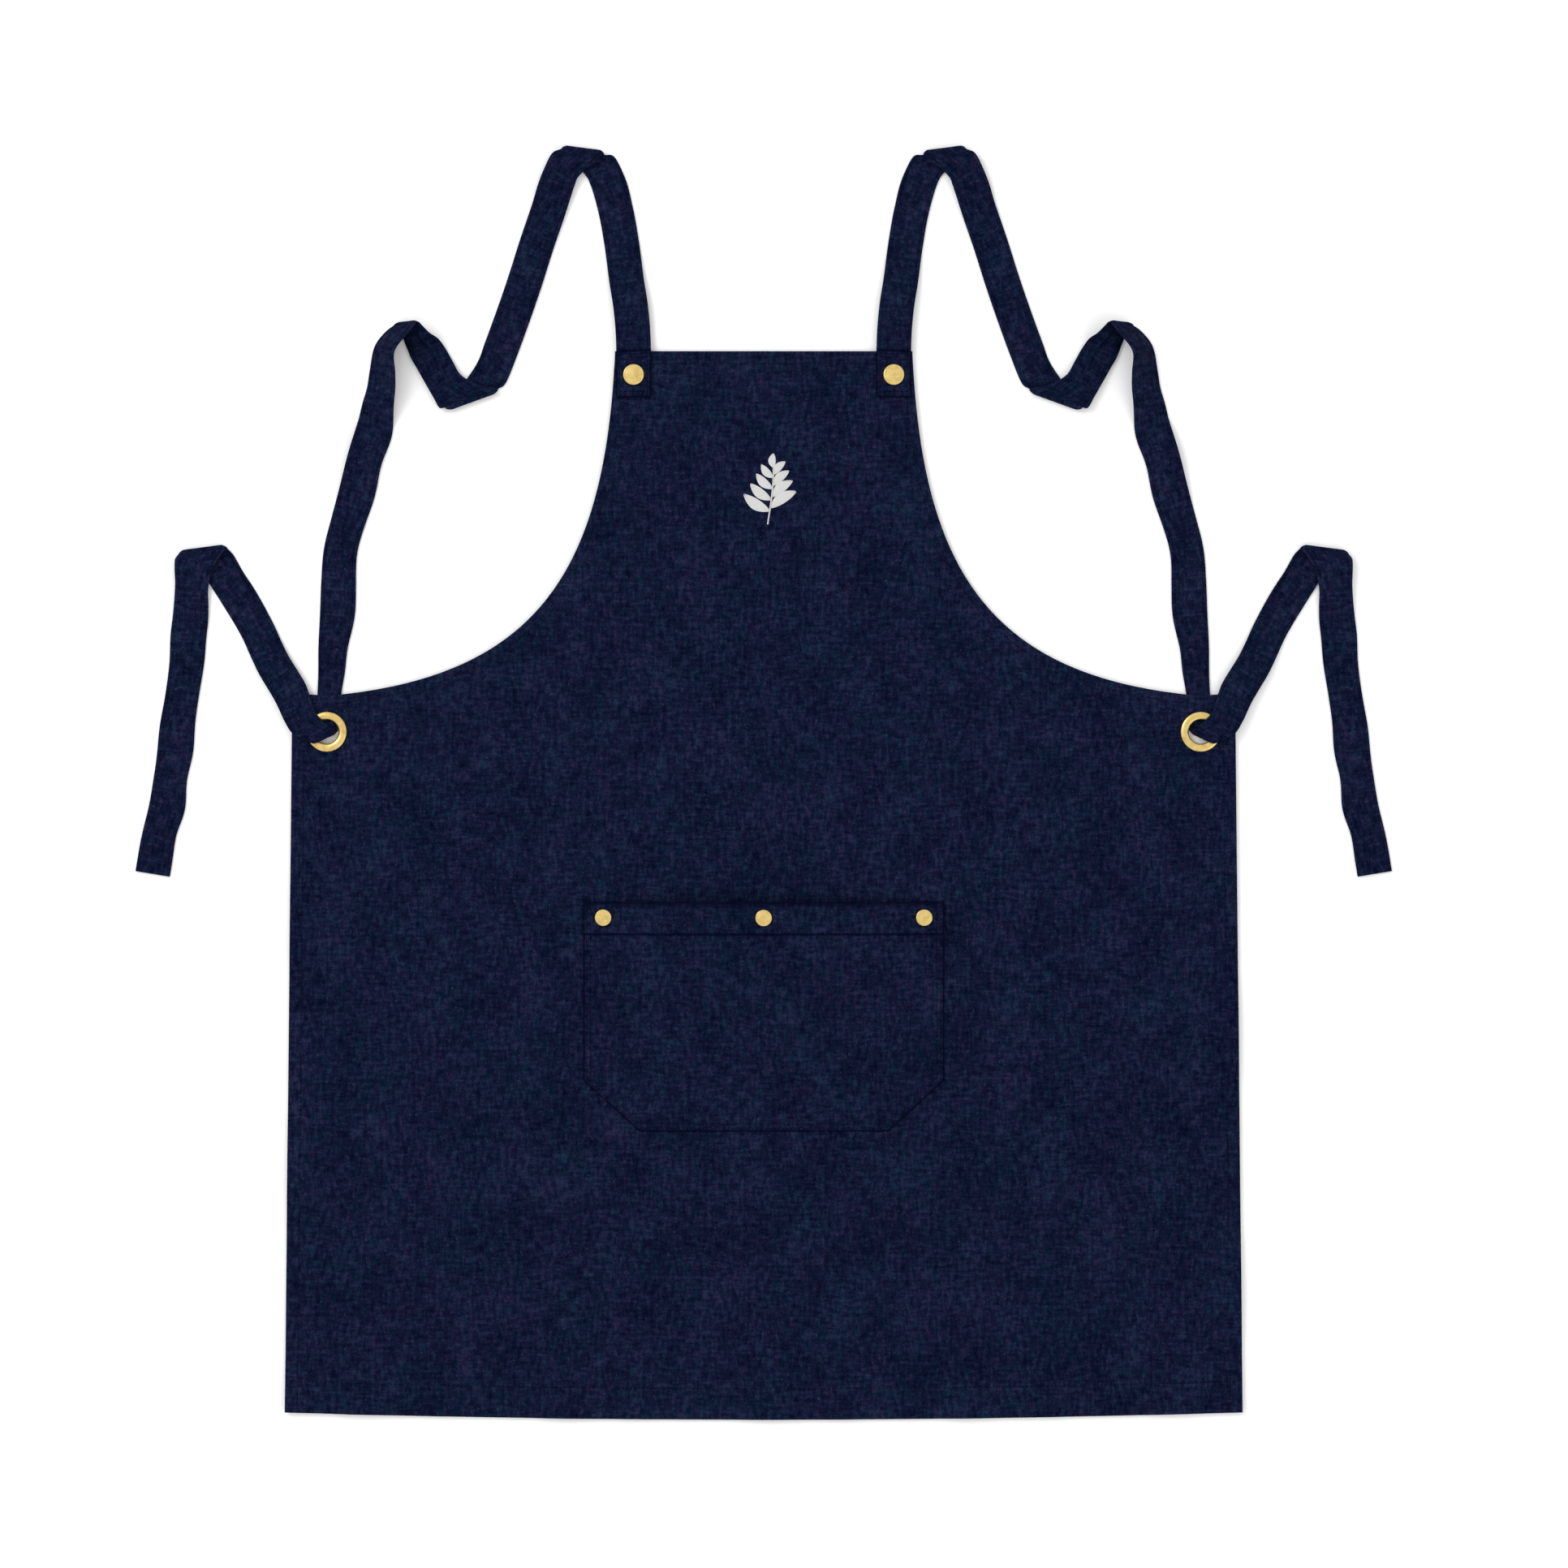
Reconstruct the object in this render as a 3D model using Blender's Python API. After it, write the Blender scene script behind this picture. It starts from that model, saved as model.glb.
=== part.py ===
"""A cross-back bib apron in denim, laid flat on its back with its front face up.

The hem's underside is on z = 0, the bib points to +Y and the wearer's right side to -X. Every place is
measured first from the middle of the bib's top edge, and one empty moves the whole apron to its origin at
the end. Left pieces are drawn, and right pieces are their mirror images in x = 0.
"""
import math

import bmesh
import bpy
import numpy as np
from mathutils import Vector

MM = 0.001

# Cloth panel
APRON_LENGTH = 800 * MM  # bib edge to the middle of the hem
BIB_WIDTH = 222.6 * MM
WAIST_WIDTH = 706 * MM
HEM_WIDTH = 717 * MM
ARMHOLE_DEPTH = 256 * MM  # bib edge down to the side corners
ARMHOLE_DIP = 2 * MM  # how far the armhole runs below the side corners
SIDE_FLAT = 26.6 * MM  # straight stretch between the armhole and the side corner
HEM_BOW = 5.5 * MM  # how far the hem's middle hangs below its ends
CLOTH = 0.9 * MM
SIDE_HEM = 11 * MM
BOTTOM_HEM = 25 * MM
FACING_WIDTH = 8 * MM
FACING_THICKNESS = 0.5 * MM
GAP = 0.3 * MM  # clearance between pieces that rest on each other

# Straps
STRAP_WIDTH = 26 * MM
STRAP_THICKNESS = 1.6 * MM
TAB_INSET = 14 * MM  # bib corner to the middle of the strap's tab
TAB_LENGTH = 34.7 * MM
FOLD_RADIUS = 2.2 * MM
HINGE_GAP = 0.5 * MM
CREASE_REACH = 25 * MM  # how far from a crease the strap still slants towards it

# Eyelets
EYELET_INSET = 26.3 * MM  # side edge to the eyelet's middle
EYELET_DROP = 29 * MM  # side corner down to the eyelet's middle
EYELET_HOLE = 9.0 * MM  # radii from here on
EYELET_OUTER = 15 * MM
BARREL_WALL = 0.7 * MM
EYELET_HEIGHT = 1.4 * MM
RING_RIM = [(0.4, 0), (0, 0.3), (1, 0.75), (2.6, 1)]  # mm in from the ring's outside, share of its height
RING_LIP = [(1.4, 0.9), (0.3, 0.4), (0, 0)]  # mm out from the hole, share of the ring's height
WASHER_OUTER = 14 * MM
STRAP_EASE = 0.4 * MM  # between the gathered strap's edge and the hole
TIE_START = 2 * MM  # ring's outside to where the tie starts to turn

# Studs and rivets
STUD_DEPTH = 17.9 * MM  # bib edge down to the strap stud's middle
STUD_CAP = 7.8 * MM
RIVET_CAP = 6.2 * MM
POST = 1.8 * MM
CAP_HEIGHT = 1.6 * MM
CAP_DOME = [(0.95, 0), (1, 0.3), (0.8, 0.8), (0.45, 1), (0, 1)]  # shares of the cap's radius and height
BURR_OUTER = 5 * MM
BURR_THICKNESS = 0.8 * MM

# Pocket
POCKET_WIDTH = 270 * MM
POCKET_HEIGHT = 172 * MM
POCKET_DEPTH = 412 * MM  # bib edge down to the pocket's mouth
POCKET_CORNER = (42 * MM, 38 * MM)  # cut off each lower corner, across and up
POCKET_GAPE = 8 * MM
BAND_HEIGHT = 25 * MM
RIVET_INSET = 15 * MM  # pocket side to a corner rivet
RIVET_DROP = 12 * MM  # pocket mouth down to the rivets

CUTTER_REACH = (-20 * MM, 40 * MM)  # heights that a cutter runs between, past every piece

# Heights of the layers above the table
FACING_Z = STRAP_THICKNESS + GAP
PANEL_Z = FACING_Z + FACING_THICKNESS + GAP
PANEL_TOP = PANEL_Z + CLOTH
ON_PANEL = PANEL_TOP + GAP
RING_TOP = ON_PANEL + EYELET_HEIGHT
ON_RING = RING_TOP + GAP
TAB_TOP = ON_PANEL + STRAP_THICKNESS


def side_edge(down):
    """x of the left side edge at this distance below the bib's top edge."""
    share = (down - ARMHOLE_DEPTH) / (APRON_LENGTH - HEM_BOW - ARMHOLE_DEPTH)
    return -(WAIST_WIDTH + share * (HEM_WIDTH - WAIST_WIDTH)) / 2


# Places on the left side, from the middle of the bib's top edge
TAB = Vector((TAB_INSET - BIB_WIDTH / 2, 0))
EYELET_DOWN = ARMHOLE_DEPTH + EYELET_DROP
EYELET = Vector((side_edge(EYELET_DOWN) + EYELET_INSET, -EYELET_DOWN))
STUD = Vector((TAB.x, -STUD_DEPTH))
RIVET_Y = -POCKET_DEPTH - RIVET_DROP
CORNER_RIVET_X = POCKET_WIDTH / 2 - RIVET_INSET
POST_HOLE = POST + GAP
BARREL_OUTER = EYELET_HOLE + BARREL_WALL
EYELET_CUT = BARREL_OUTER + GAP
TIE_SWIVEL = EYELET_OUTER + TIE_START

# The line that the shoulder loop lifts about, just off the cloth
HINGE_TOP = Vector((TAB.x, TAB.y + 17.6 * MM, TAB_TOP))
HINGE_FOOT = Vector((EYELET.x + 2.1 * MM, EYELET.y + 42.6 * MM, STRAP_THICKNESS))

# The strap's route by hand, in mm: x, y, height of its underside, half width, tilt in degrees.
# x and y run from the tab's middle on the bib edge, or from the eyelet's middle.
HALF = STRAP_WIDTH / 2 / MM
SQUEEZE = HALF - (EYELET_HOLE - STRAP_EASE) / MM  # off each half where the strap is gathered to the hole
SEWN = ON_PANEL / MM
TAB_LEG = [(0, 0, SEWN), (-0.9, 20, SEWN), (-2.6, 36, SEWN), (-4.9, 50, 2.6), (-9.1, 81, 0)]
LEG_1 = [(-13.4, 105, 0), (-20.4, 129.5, 0), (-24.3, 137.4, 0)]
LEG_2 = [(-52.3, 137.4, 4.2), (-55.9, 129.5, 3.4), (-64.1, 105, 1), (-72.4, 81, 0), (-82.1, 50.5, 0),
         (-92.7, 20, 0), (-99.4, 1.8, 0), (-106.7, -16.4, 0)]
LEG_3 = [(-130.7, -34, 4.4), (-138.6, -27.4, 3.9), (-146.5, -14.6, 2.4), (-152.3, -4.3, 1.4),
         (-156.3, 1.8, 1, HALF, 8), (-161.1, 8.5, 0.6, HALF, 24)]
LEG_4_TOP = [(-176.9, 12.2, 2.6, HALF, 50), (-185.4, 1.8, 1.2, HALF, 50), (-187.9, -16.4, 0.4, HALF, 40),
             (-188.5, -28.6, 0, HALF, 30), (-190.6, -40.7, 0, HALF, 16), (-193.3, -52.9, 0)]
LEG_4_FOOT = [(16.4, 159, 0), (10.6, 135, 0), (8.5, 111, 0), (7, 86, 0, HALF - 0.1 * SQUEEZE),
              (4.9, 62, 0, HALF - 0.4 * SQUEEZE), (2.4, 38, 0, HALF - 0.85 * SQUEEZE),
              (1, 19.5, 0, HALF - SQUEEZE)]
TIE_LEG = [(-23.4, 15.2, SEWN + 0.8), (-28.9, 31.6, SEWN + 0.1), (-32.2, 37.7, SEWN),
           (-39.5, 49.9, SEWN - 0.9), (-45.3, 62, 1.4), (-50.8, 74.2, 0.4), (-57.5, 86.3, 0),
           (-65.1, 98.5, 0), (-72.7, 110.7, 0), (-81.2, 124.6, 0)]
END_LEG = [(-97.6, 128.9, 4.4), (-99.4, 122.8, 4.2), (-100.3, 110, 3), (-101.2, 98.5, 1.6),
           (-102.7, 86, 0.5), (-104.3, 74.2, 0), (-105.2, 50, 0), (-108.2, 25.5, 0), (-112.8, 1, 0),
           (-115.8, -29.2, 0), (-121.3, -59.6, 0), (-128, -90, 0), (-130.7, -106.4, 0)]
# Creases: x, y, angle of the crease line, half its length, tilt
CREASE_1 = (-37.7, 151.4, -7.5, HALF + 3, 0)
CREASE_2 = (-120.7, -37.4, 19.9, HALF + 8, 0)
CREASE_3 = (-167.2, 20.7, 0, HALF, 46)
TIE_CREASE = (-93, 137.4, 7.5, HALF + 5, 0)
# Through the eyelet: the middle's x and y in hole radii, its share of the climb from under the cloth to
# over the ring, then the middle-to-edge vector in hole radii
THROUGH = [(0.04, 0.72, 0.01, 0.8, 0), (0.02, 0.36, 0.14, 0.72, 0.09), (0, 0.11, 0.5, 0.68, 0.26),
           (-0.18, 0.24, 0.88, 0.6, 0.53), (-0.61, 0.5, 1.02, 0.58, 0.82)]
SWIVEL_WAY = Vector((-0.84, 0.55)).normalized()  # the way the tie leaves the eyelet

DENIM = (0.0075, 0.0105, 0.031)
DARK_DENIM = (0.005, 0.007, 0.02)
BRASS = (0.62, 0.46, 0.16)


def material(name, colour, roughness, metallic):
    made = bpy.data.materials.new(name)
    made.use_nodes = True
    shader = made.node_tree.nodes["Principled BSDF"]
    shader.inputs["Base Color"].default_value = (*colour, 1)
    shader.inputs["Roughness"].default_value = roughness
    shader.inputs["Metallic"].default_value = metallic
    made.diffuse_color = (*colour, 1)
    return made


def clear_scene():
    for obj in list(bpy.data.objects):
        bpy.data.objects.remove(obj, do_unlink=True)


def origin_of(obj):
    return obj.location + origin_of(obj.parent) if obj.parent else Vector()


def finish(bm, name, look, parent, origin=(0, 0, 0), mirror=False, smooth=False):
    """Turns a bmesh drawn from the bib edge into an object whose origin is at the given place."""
    origin = Vector(origin)
    if mirror:
        bmesh.ops.scale(bm, vec=(-1, 1, 1), verts=bm.verts)
        origin.x = -origin.x
    bmesh.ops.recalc_face_normals(bm, faces=bm.faces)
    if bm.calc_volume(signed=True) < 0:
        bmesh.ops.reverse_faces(bm, faces=bm.faces)
    bmesh.ops.translate(bm, vec=-origin, verts=bm.verts)
    mesh = bpy.data.meshes.new(name)
    bm.to_mesh(mesh)
    bm.free()
    if smooth:
        mesh.shade_smooth()
        mesh.set_sharp_from_angle(angle=math.radians(35))
    mesh.materials.append(look)
    obj = bpy.data.objects.new(name, mesh)
    bpy.context.collection.objects.link(obj)
    obj.parent = parent
    obj.location = origin - origin_of(parent)
    return obj


def slab(outline, low, high):
    """A plate with the given outline between two heights."""
    bm = bmesh.new()
    face = bm.faces.new([bm.verts.new((x, y, low)) for x, y in outline])
    raised = bmesh.ops.extrude_face_region(bm, geom=[face])["geom"]
    top = [part for part in raised if isinstance(part, bmesh.types.BMVert)]
    bmesh.ops.translate(bm, vec=(0, 0, high - low), verts=top)
    return bm


def turned(profile, centre, segments=32, bm=None):
    """A ring or disc: a closed outline of (radius, height) turned about a vertical axis."""
    bm = bmesh.new() if bm is None else bm
    rings = []
    for radius, height in profile:
        turns = [2 * math.pi * k / segments for k in range(segments if radius else 1)]
        spots = [centre + radius * Vector((math.cos(turn), math.sin(turn))) for turn in turns]
        rings.append([bm.verts.new((*spot, height)) for spot in spots])
    for ring, after in zip(rings, rings[1:] + rings[:1]):
        for k in range(segments):
            corners = [ring[k % len(ring)], ring[(k + 1) % len(ring)],
                       after[(k + 1) % len(after)], after[k % len(after)]]
            corners = list(dict.fromkeys(corners))
            if len(corners) > 2:
                bm.faces.new(corners)
    return bm


def drill(obj, centres, radius):
    """Cuts upright holes right through a piece with a Boolean."""
    low, high = CUTTER_REACH
    pins = bmesh.new()
    for centre in centres:
        turned([(0, low), (radius, low), (radius, high), (0, high)], centre, bm=pins)
    bmesh.ops.recalc_face_normals(pins, faces=pins.faces)
    cut(obj, pins, "DIFFERENCE")


def cut(obj, bm, operation):
    """Adds a Boolean modifier whose cutter is the given bmesh, drawn from the bib edge."""
    mesh = bpy.data.meshes.new(obj.name + "_cutter")
    bm.to_mesh(mesh)
    bm.free()
    cutter = bpy.data.objects.new(mesh.name, mesh)
    bpy.context.collection.objects.link(cutter)
    cutter.hide_render = True
    cutter.display_type = "WIRE"
    cutter.parent = apron
    modifier = obj.modifiers.new("cut", "BOOLEAN")
    modifier.operation = operation
    modifier.solver = "EXACT"
    modifier.object = cutter


def armhole(count=28):
    """The left armhole's curve, from the bib corner down to the straight stretch by the side corner."""
    ends = (Vector((-BIB_WIDTH / 2, 0)), Vector((SIDE_FLAT - WAIST_WIDTH / 2, -ARMHOLE_DEPTH - ARMHOLE_DIP)))
    handles = (ends[0] + Vector((-7 * MM, -0.644 * ARMHOLE_DEPTH)),
               Vector((-BIB_WIDTH / 2 - 58 * MM, -0.954 * ARMHOLE_DEPTH)))
    curve = []
    for k in range(count + 1):
        t = k / count
        curve.append((1 - t) ** 3 * ends[0] + 3 * (1 - t) ** 2 * t * handles[0]
                     + 3 * (1 - t) * t ** 2 * handles[1] + t ** 3 * ends[1])
    return curve


def hem_line(half, raised, count=12):
    """Points along the bowed bottom edge, left to right, at a height above that edge."""
    rows = (2 * k / count - 1 for k in range(count + 1))
    return [Vector((half * u, HEM_BOW * u * u - APRON_LENGTH + raised)) for u in rows]


def mirrored(points):
    return [Vector((-point.x, point.y)) for point in reversed(points)]


def make_body_panel():
    """One ply of denim, with its turned hems standing down to the table along the bib, sides and bottom."""
    corner = Vector((-WAIST_WIDTH / 2, -ARMHOLE_DEPTH))
    left = armhole() + [corner]
    outline = left + hem_line(HEM_WIDTH / 2, 0) + mirrored(left)
    panel = finish(slab(outline, 0, PANEL_TOP), "body_panel", denim, apron)
    high = ARMHOLE_DEPTH - SIDE_HEM
    low = APRON_LENGTH - HEM_BOW - BOTTOM_HEM
    inner = [Vector((-WAIST_WIDTH, -SIDE_HEM)), Vector((-WAIST_WIDTH, -high)),
             Vector((side_edge(high) + SIDE_HEM, -high))]
    recess = inner + hem_line(-side_edge(low) - SIDE_HEM, BOTTOM_HEM) + mirrored(inner)
    cut(panel, slab(recess, CUTTER_REACH[0], PANEL_Z), "DIFFERENCE")
    drill(panel, (EYELET, mirror(EYELET)), EYELET_CUT)
    rivets = (Vector((CORNER_RIVET_X, RIVET_Y)), Vector((-CORNER_RIVET_X, RIVET_Y)))
    drill(panel, (STUD, mirror(STUD), *rivets), POST_HOLE)


def mirror(point):
    return Vector((-point.x, *point[1:]))


def make_facing(side, flip):
    """The bias facing turned to the back along an armhole, between the bib hem and the side hem."""
    curve = [p for p in armhole(56) if p.y < -SIDE_HEM - GAP]
    bm = bmesh.new()
    rows = []
    for k, point in enumerate(curve):
        way = (curve[min(k + 1, len(curve) - 1)] - curve[max(k - 1, 0)]).normalized()
        inward = Vector((-way.y, way.x))
        edges = (point + inward * GAP, point + inward * (GAP + FACING_WIDTH))
        lower = [bm.verts.new((*edge, FACING_Z)) for edge in edges]
        upper = [bm.verts.new((*edge, FACING_Z + FACING_THICKNESS)) for edge in edges]
        rows.append(lower + upper[::-1])
    skin(bm, rows)
    finish(bm, f"{side}_armhole_facing", dark_denim, apron, mirror=flip)


def skin(bm, rings):
    """Closes a tube through rings of vertices, with a strip of faces over each end."""
    for ring, after in zip(rings, rings[1:]):
        for k in range(len(ring)):
            bm.faces.new((ring[k], ring[k - 1], after[k - 1], after[k]))
    for ring in (rings[0], rings[-1]):
        half = len(ring) // 2
        for k in range(half - 1):
            bm.faces.new((ring[k], ring[k + 1], ring[-2 - k], ring[-1 - k]))


# Straps

def spline(keys, step):
    """Rows every step or so along a smooth curve through keys of (middle, middle-to-edge vector)."""
    keys = np.array(keys)
    at = np.concatenate([[0], np.cumsum(np.linalg.norm(np.diff(keys[:, :3], axis=0), axis=1))])
    slopes = np.gradient(keys, at, axis=0)
    rows = [keys[0]]
    for k in range(len(keys) - 1):
        span = at[k + 1] - at[k]
        count = max(1, round(span / step))
        for j in range(1, count + 1):
            t = j / count
            rows.append((2 * t ** 3 - 3 * t ** 2 + 1) * keys[k] + (t ** 3 - 2 * t ** 2 + t) * span * slopes[k]
                        + (3 * t ** 2 - 2 * t ** 3) * keys[k + 1] + (t ** 3 - t ** 2) * span * slopes[k + 1])
    return rows


def placed(points, anchor):
    """Hand-set route points, in mm from an anchor, as (place, height, half width, tilt)."""
    rows = []
    for x, y, low, *rest in points:
        half, tilt = rest + [HALF, 0][len(rest):]
        rows.append((anchor + Vector((x, y)) * MM, low * MM, half * MM, math.radians(tilt)))
    return rows


def slant(crease):
    """The crease's middle-to-edge vector: along the crease line, and tilted up at one end."""
    angle, half, tilt = math.radians(crease[2]), crease[3] * MM, math.radians(crease[4])
    return half * Vector((math.cos(angle) * math.cos(tilt), math.sin(angle) * math.cos(tilt), math.sin(tilt)))


def rise(edge, way):
    """Height of the strap's middle above its lowest edge."""
    normal = edge.cross(way).normalized()
    return abs(edge.z) + abs(normal.z) * STRAP_THICKNESS / 2


def leg_keys(points, before=None, after=None):
    """Spline keys for a stretch of strap. The creases before and after it, if any, are (place, slant)."""
    places = [p[0] for p in points]
    ends = [before[0]] if before else []
    line = ends + places + ([after[0]] if after else [])
    shift = len(ends)
    keys = []
    for k, (place, low, half, tilt) in enumerate(points):
        back = line[max(k + shift - 1, 0)]
        ahead = line[min(k + shift + 1, len(line) - 1)]
        way = (ahead - back).normalized()
        across = Vector((way.y, -way.x)) * (1 if way.y > 0 else -1)
        edge = Vector((*(across * math.cos(tilt)), math.sin(tilt))) * half
        for crease in filter(None, (before, after)):
            near = max(0, 1 - (place - crease[0]).length / CREASE_REACH)
            edge = edge.lerp(crease[1], near * near * (3 - 2 * near))
        height = low + rise(edge, Vector((*way, 0)))
        keys.append((*place, height, *edge))
    return keys


def fold(crease, anchor, low, way_up, count=8):
    """Rows around a soft fold. The strap arrives at height low, turns over upwards and leaves above."""
    place = anchor + Vector(crease[:2]) * MM
    edge = slant(crease)
    way = Vector((0, 1 if way_up else -1, 0))
    way = (way - way.project(edge)).normalized()
    normal = edge.cross(way).normalized()
    if normal.z < 0:
        normal = -normal
    start = Vector((*place, low + rise(edge, way))) - way * FOLD_RADIUS
    rows = []
    for k in range(count + 1):
        turn = math.pi * k / count
        middle = start + FOLD_RADIUS * (way * math.sin(turn) + normal * (1 - math.cos(turn)))
        rows.append(np.array((*middle, *edge)))
    return rows


def ribbon(rows, columns=2, first_arc=None, last_arc=None):
    """A closed strip through rows of (middle, middle-to-edge vector). An arc is the radius that an end
    is rounded to, hollow at the first row and full at the last."""
    rows = np.array(rows)
    ways = np.gradient(rows[:, :3], axis=0)
    bm = bmesh.new()
    rings = []
    for k, row in enumerate(rows):
        middle, edge, way = Vector(row[:3]), Vector(row[3:]), Vector(ways[k]).normalized()
        normal = edge.cross(way).normalized() * STRAP_THICKNESS / 2
        middle.z = max(middle.z, abs(edge.z) + abs(normal.z))
        arc = {0: first_arc, len(rows) - 1: last_arc}.get(k)
        outward = Vector((*SWIVEL_WAY, 0))
        lower, upper = [], []
        for j in range(columns + 1):
            share = 2 * j / columns - 1
            point = middle + edge * share
            if arc:
                point += outward * (math.sqrt(arc ** 2 - (share * edge.length) ** 2) - arc)
            lower.append(bm.verts.new(point - normal))
            upper.append(bm.verts.new(point + normal))
        rings.append(lower + upper[::-1])
    skin(bm, rings)
    return bm


def trim(bm, place, out):
    """Cuts off what lies beyond a plane, on the side that out points to, and closes the cut."""
    geometry = bm.verts[:] + bm.edges[:] + bm.faces[:]
    bmesh.ops.bisect_plane(bm, geom=geometry, plane_co=place, plane_no=out, clear_outer=True, dist=1e-7)
    bmesh.ops.holes_fill(bm, edges=[e for e in bm.edges if e.is_boundary], sides=0)
    return bm


def lift_side():
    """The direction in plan from the lift line towards the shoulder loop."""
    line = HINGE_TOP - HINGE_FOOT
    return Vector((-line.y, line.x, 0)).normalized()


def shoulder_rows():
    """The whole shoulder loop, from the bib to under the waist corner."""
    creases = [(TAB + Vector(c[:2]) * MM, slant(c)) for c in (CREASE_1, CREASE_2, CREASE_3)]
    legs = [leg_keys(placed(TAB_LEG + LEG_1, TAB), None, creases[0]),
            leg_keys(placed(LEG_2, TAB), creases[0], creases[1]),
            leg_keys(placed(LEG_3, TAB), creases[1], creases[2]),
            leg_keys(placed(LEG_4_TOP, TAB) + placed(LEG_4_FOOT, EYELET), creases[2], None)]
    folds = [fold(CREASE_1, TAB, 0, True), fold(CREASE_2, TAB, 0, False), fold(CREASE_3, TAB, 0.4 * MM, True)]
    return joined(legs, folds)


def joined(legs, folds, step=9 * MM):
    """Rows along legs of strap with a fold between each two."""
    rows = []
    for before, leg, after in zip([None] + folds, legs, folds + [None]):
        arrival = [tuple(before[-1])] if before else []
        departure = [tuple(after[0])] if after else []
        part = spline(arrival + leg + departure, step)
        rows += part[1:] if before else part
        rows += after[1:] if after else []
    return rows


def make_shoulder_strap(side, flip):
    out = -lift_side()
    tab_rows = spline([(TAB.x, -TAB_LENGTH, ON_PANEL + STRAP_THICKNESS / 2, STRAP_WIDTH / 2, 0, 0)]
                      + leg_keys(placed(TAB_LEG, TAB)), 9 * MM)
    tab = trim(ribbon(tab_rows), HINGE_TOP + out * HINGE_GAP / 2, -out)
    tab = finish(tab, f"{side}_strap_tab", denim, apron, mirror=flip)
    drill(tab, (mirror(STUD) if flip else STUD,), POST_HOLE)
    loop = trim(ribbon(shoulder_rows()), HINGE_TOP - out * HINGE_GAP / 2, out)
    finish(loop, f"{side}_shoulder_strap", denim, apron, origin=HINGE_FOOT, mirror=flip)
    keys = leg_keys(placed(LEG_4_FOOT[3:], EYELET))
    for x, y, climb, *edge in THROUGH:
        place = EYELET + Vector((x, y)) * EYELET_HOLE
        keys.append((*place, STRAP_THICKNESS / 2 + climb * ON_RING, *(Vector(edge) * EYELET_HOLE), 0))
    keys.append(swivel_key(TIE_SWIVEL))
    through = ribbon(spline(keys, 2.5 * MM), columns=6, last_arc=TIE_SWIVEL)
    through = trim(through, HINGE_FOOT + out * HINGE_GAP / 2, -out)
    finish(through, f"{side}_strap_through_eyelet", denim, apron, mirror=flip)


def swivel_key(reach):
    """The strap on the ring, on the way out at this distance from the eyelet's middle."""
    across = Vector((SWIVEL_WAY.y, -SWIVEL_WAY.x)) * STRAP_WIDTH / 2
    return (*(EYELET + SWIVEL_WAY * reach), ON_RING + STRAP_THICKNESS / 2, *across, 0)


def make_tie(side, flip):
    """The tie from the eyelet to its crease, and its end, which unfolds about that crease."""
    first = swivel_key(TIE_SWIVEL + GAP)
    turn = fold(TIE_CREASE, EYELET, 0, True)
    crease = (EYELET + Vector(TIE_CREASE[:2]) * MM, slant(TIE_CREASE))
    keys = [first] + leg_keys(placed(TIE_LEG, EYELET), None, crease) + [tuple(turn[0])]
    edge = slant(TIE_CREASE).normalized()
    way = Vector((-edge.y, edge.x, 0))
    axis = Vector(turn[0][:3]) + Vector((0, 0, FOLD_RADIUS))
    clear = FOLD_RADIUS + STRAP_THICKNESS / 2 + GAP
    leg = trim(ribbon(spline(keys, 8 * MM), columns=6, first_arc=TIE_SWIVEL + GAP), axis - way * clear, way)
    tie = finish(leg, f"{side}_tie", denim, apron, origin=(*EYELET, 0), mirror=flip)
    end_keys = [tuple(turn[-1])] + leg_keys(placed(END_LEG, EYELET), crease, None)
    rows = turn[:-1] + spline(end_keys, 9 * MM)
    finish(ribbon(rows), f"{side}_tie_end", denim, tie, origin=axis, mirror=flip)


# Hardware

def make_eyelet(side, flip):
    flange = [(EYELET_HOLE, FACING_Z), (BARREL_OUTER, FACING_Z), (BARREL_OUTER, ON_PANEL)]
    flange += [(EYELET_OUTER - inward * MM, ON_PANEL + up * EYELET_HEIGHT) for inward, up in RING_RIM]
    flange += [(EYELET_HOLE + outward * MM, ON_PANEL + up * EYELET_HEIGHT) for outward, up in RING_LIP]
    finish(turned(flange, EYELET), f"{side}_eyelet", brass, apron, mirror=flip, smooth=True)
    washer = ring_profile(EYELET_CUT, WASHER_OUTER, FACING_Z, FACING_Z + FACING_THICKNESS)
    finish(turned(washer, EYELET), f"{side}_eyelet_washer", brass, apron, mirror=flip, smooth=True)


def ring_profile(inner, outer, low, high):
    return [(inner, low), (outer, low), (outer, high), (inner, high)]


def make_rivet(name, place, cap_radius, cloth_top, cloth_bottom):
    """A domed cap with its post through the cloth, and the burr that clinches it from behind."""
    seat = cloth_top + GAP
    tip = cloth_bottom - GAP - BURR_THICKNESS
    cap = [(0, tip), (POST, tip), (POST, seat)]
    cap += [(share * cap_radius, seat + up * CAP_HEIGHT) for share, up in CAP_DOME]
    finish(turned(cap, place, 24), name, brass, apron, smooth=True)
    burr = ring_profile(POST_HOLE, BURR_OUTER, tip, tip + BURR_THICKNESS)
    back = name.replace("_stud", "_stud_back").replace("_rivet", "_rivet_burr")
    finish(turned(burr, place, 24), back, brass, apron, smooth=True)


# Pocket

def gape(x, y):
    """How far the pocket stands off the panel: nothing along its sewn edges, most at the mouth's middle."""
    across = min(1, abs(x) / (POCKET_WIDTH / 2))
    up = min(1, max(0, (y + POCKET_DEPTH) / POCKET_HEIGHT + 1))
    return POCKET_GAPE * (1 - across ** 2) ** 2 * math.sin(math.pi / 2 * up)


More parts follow.
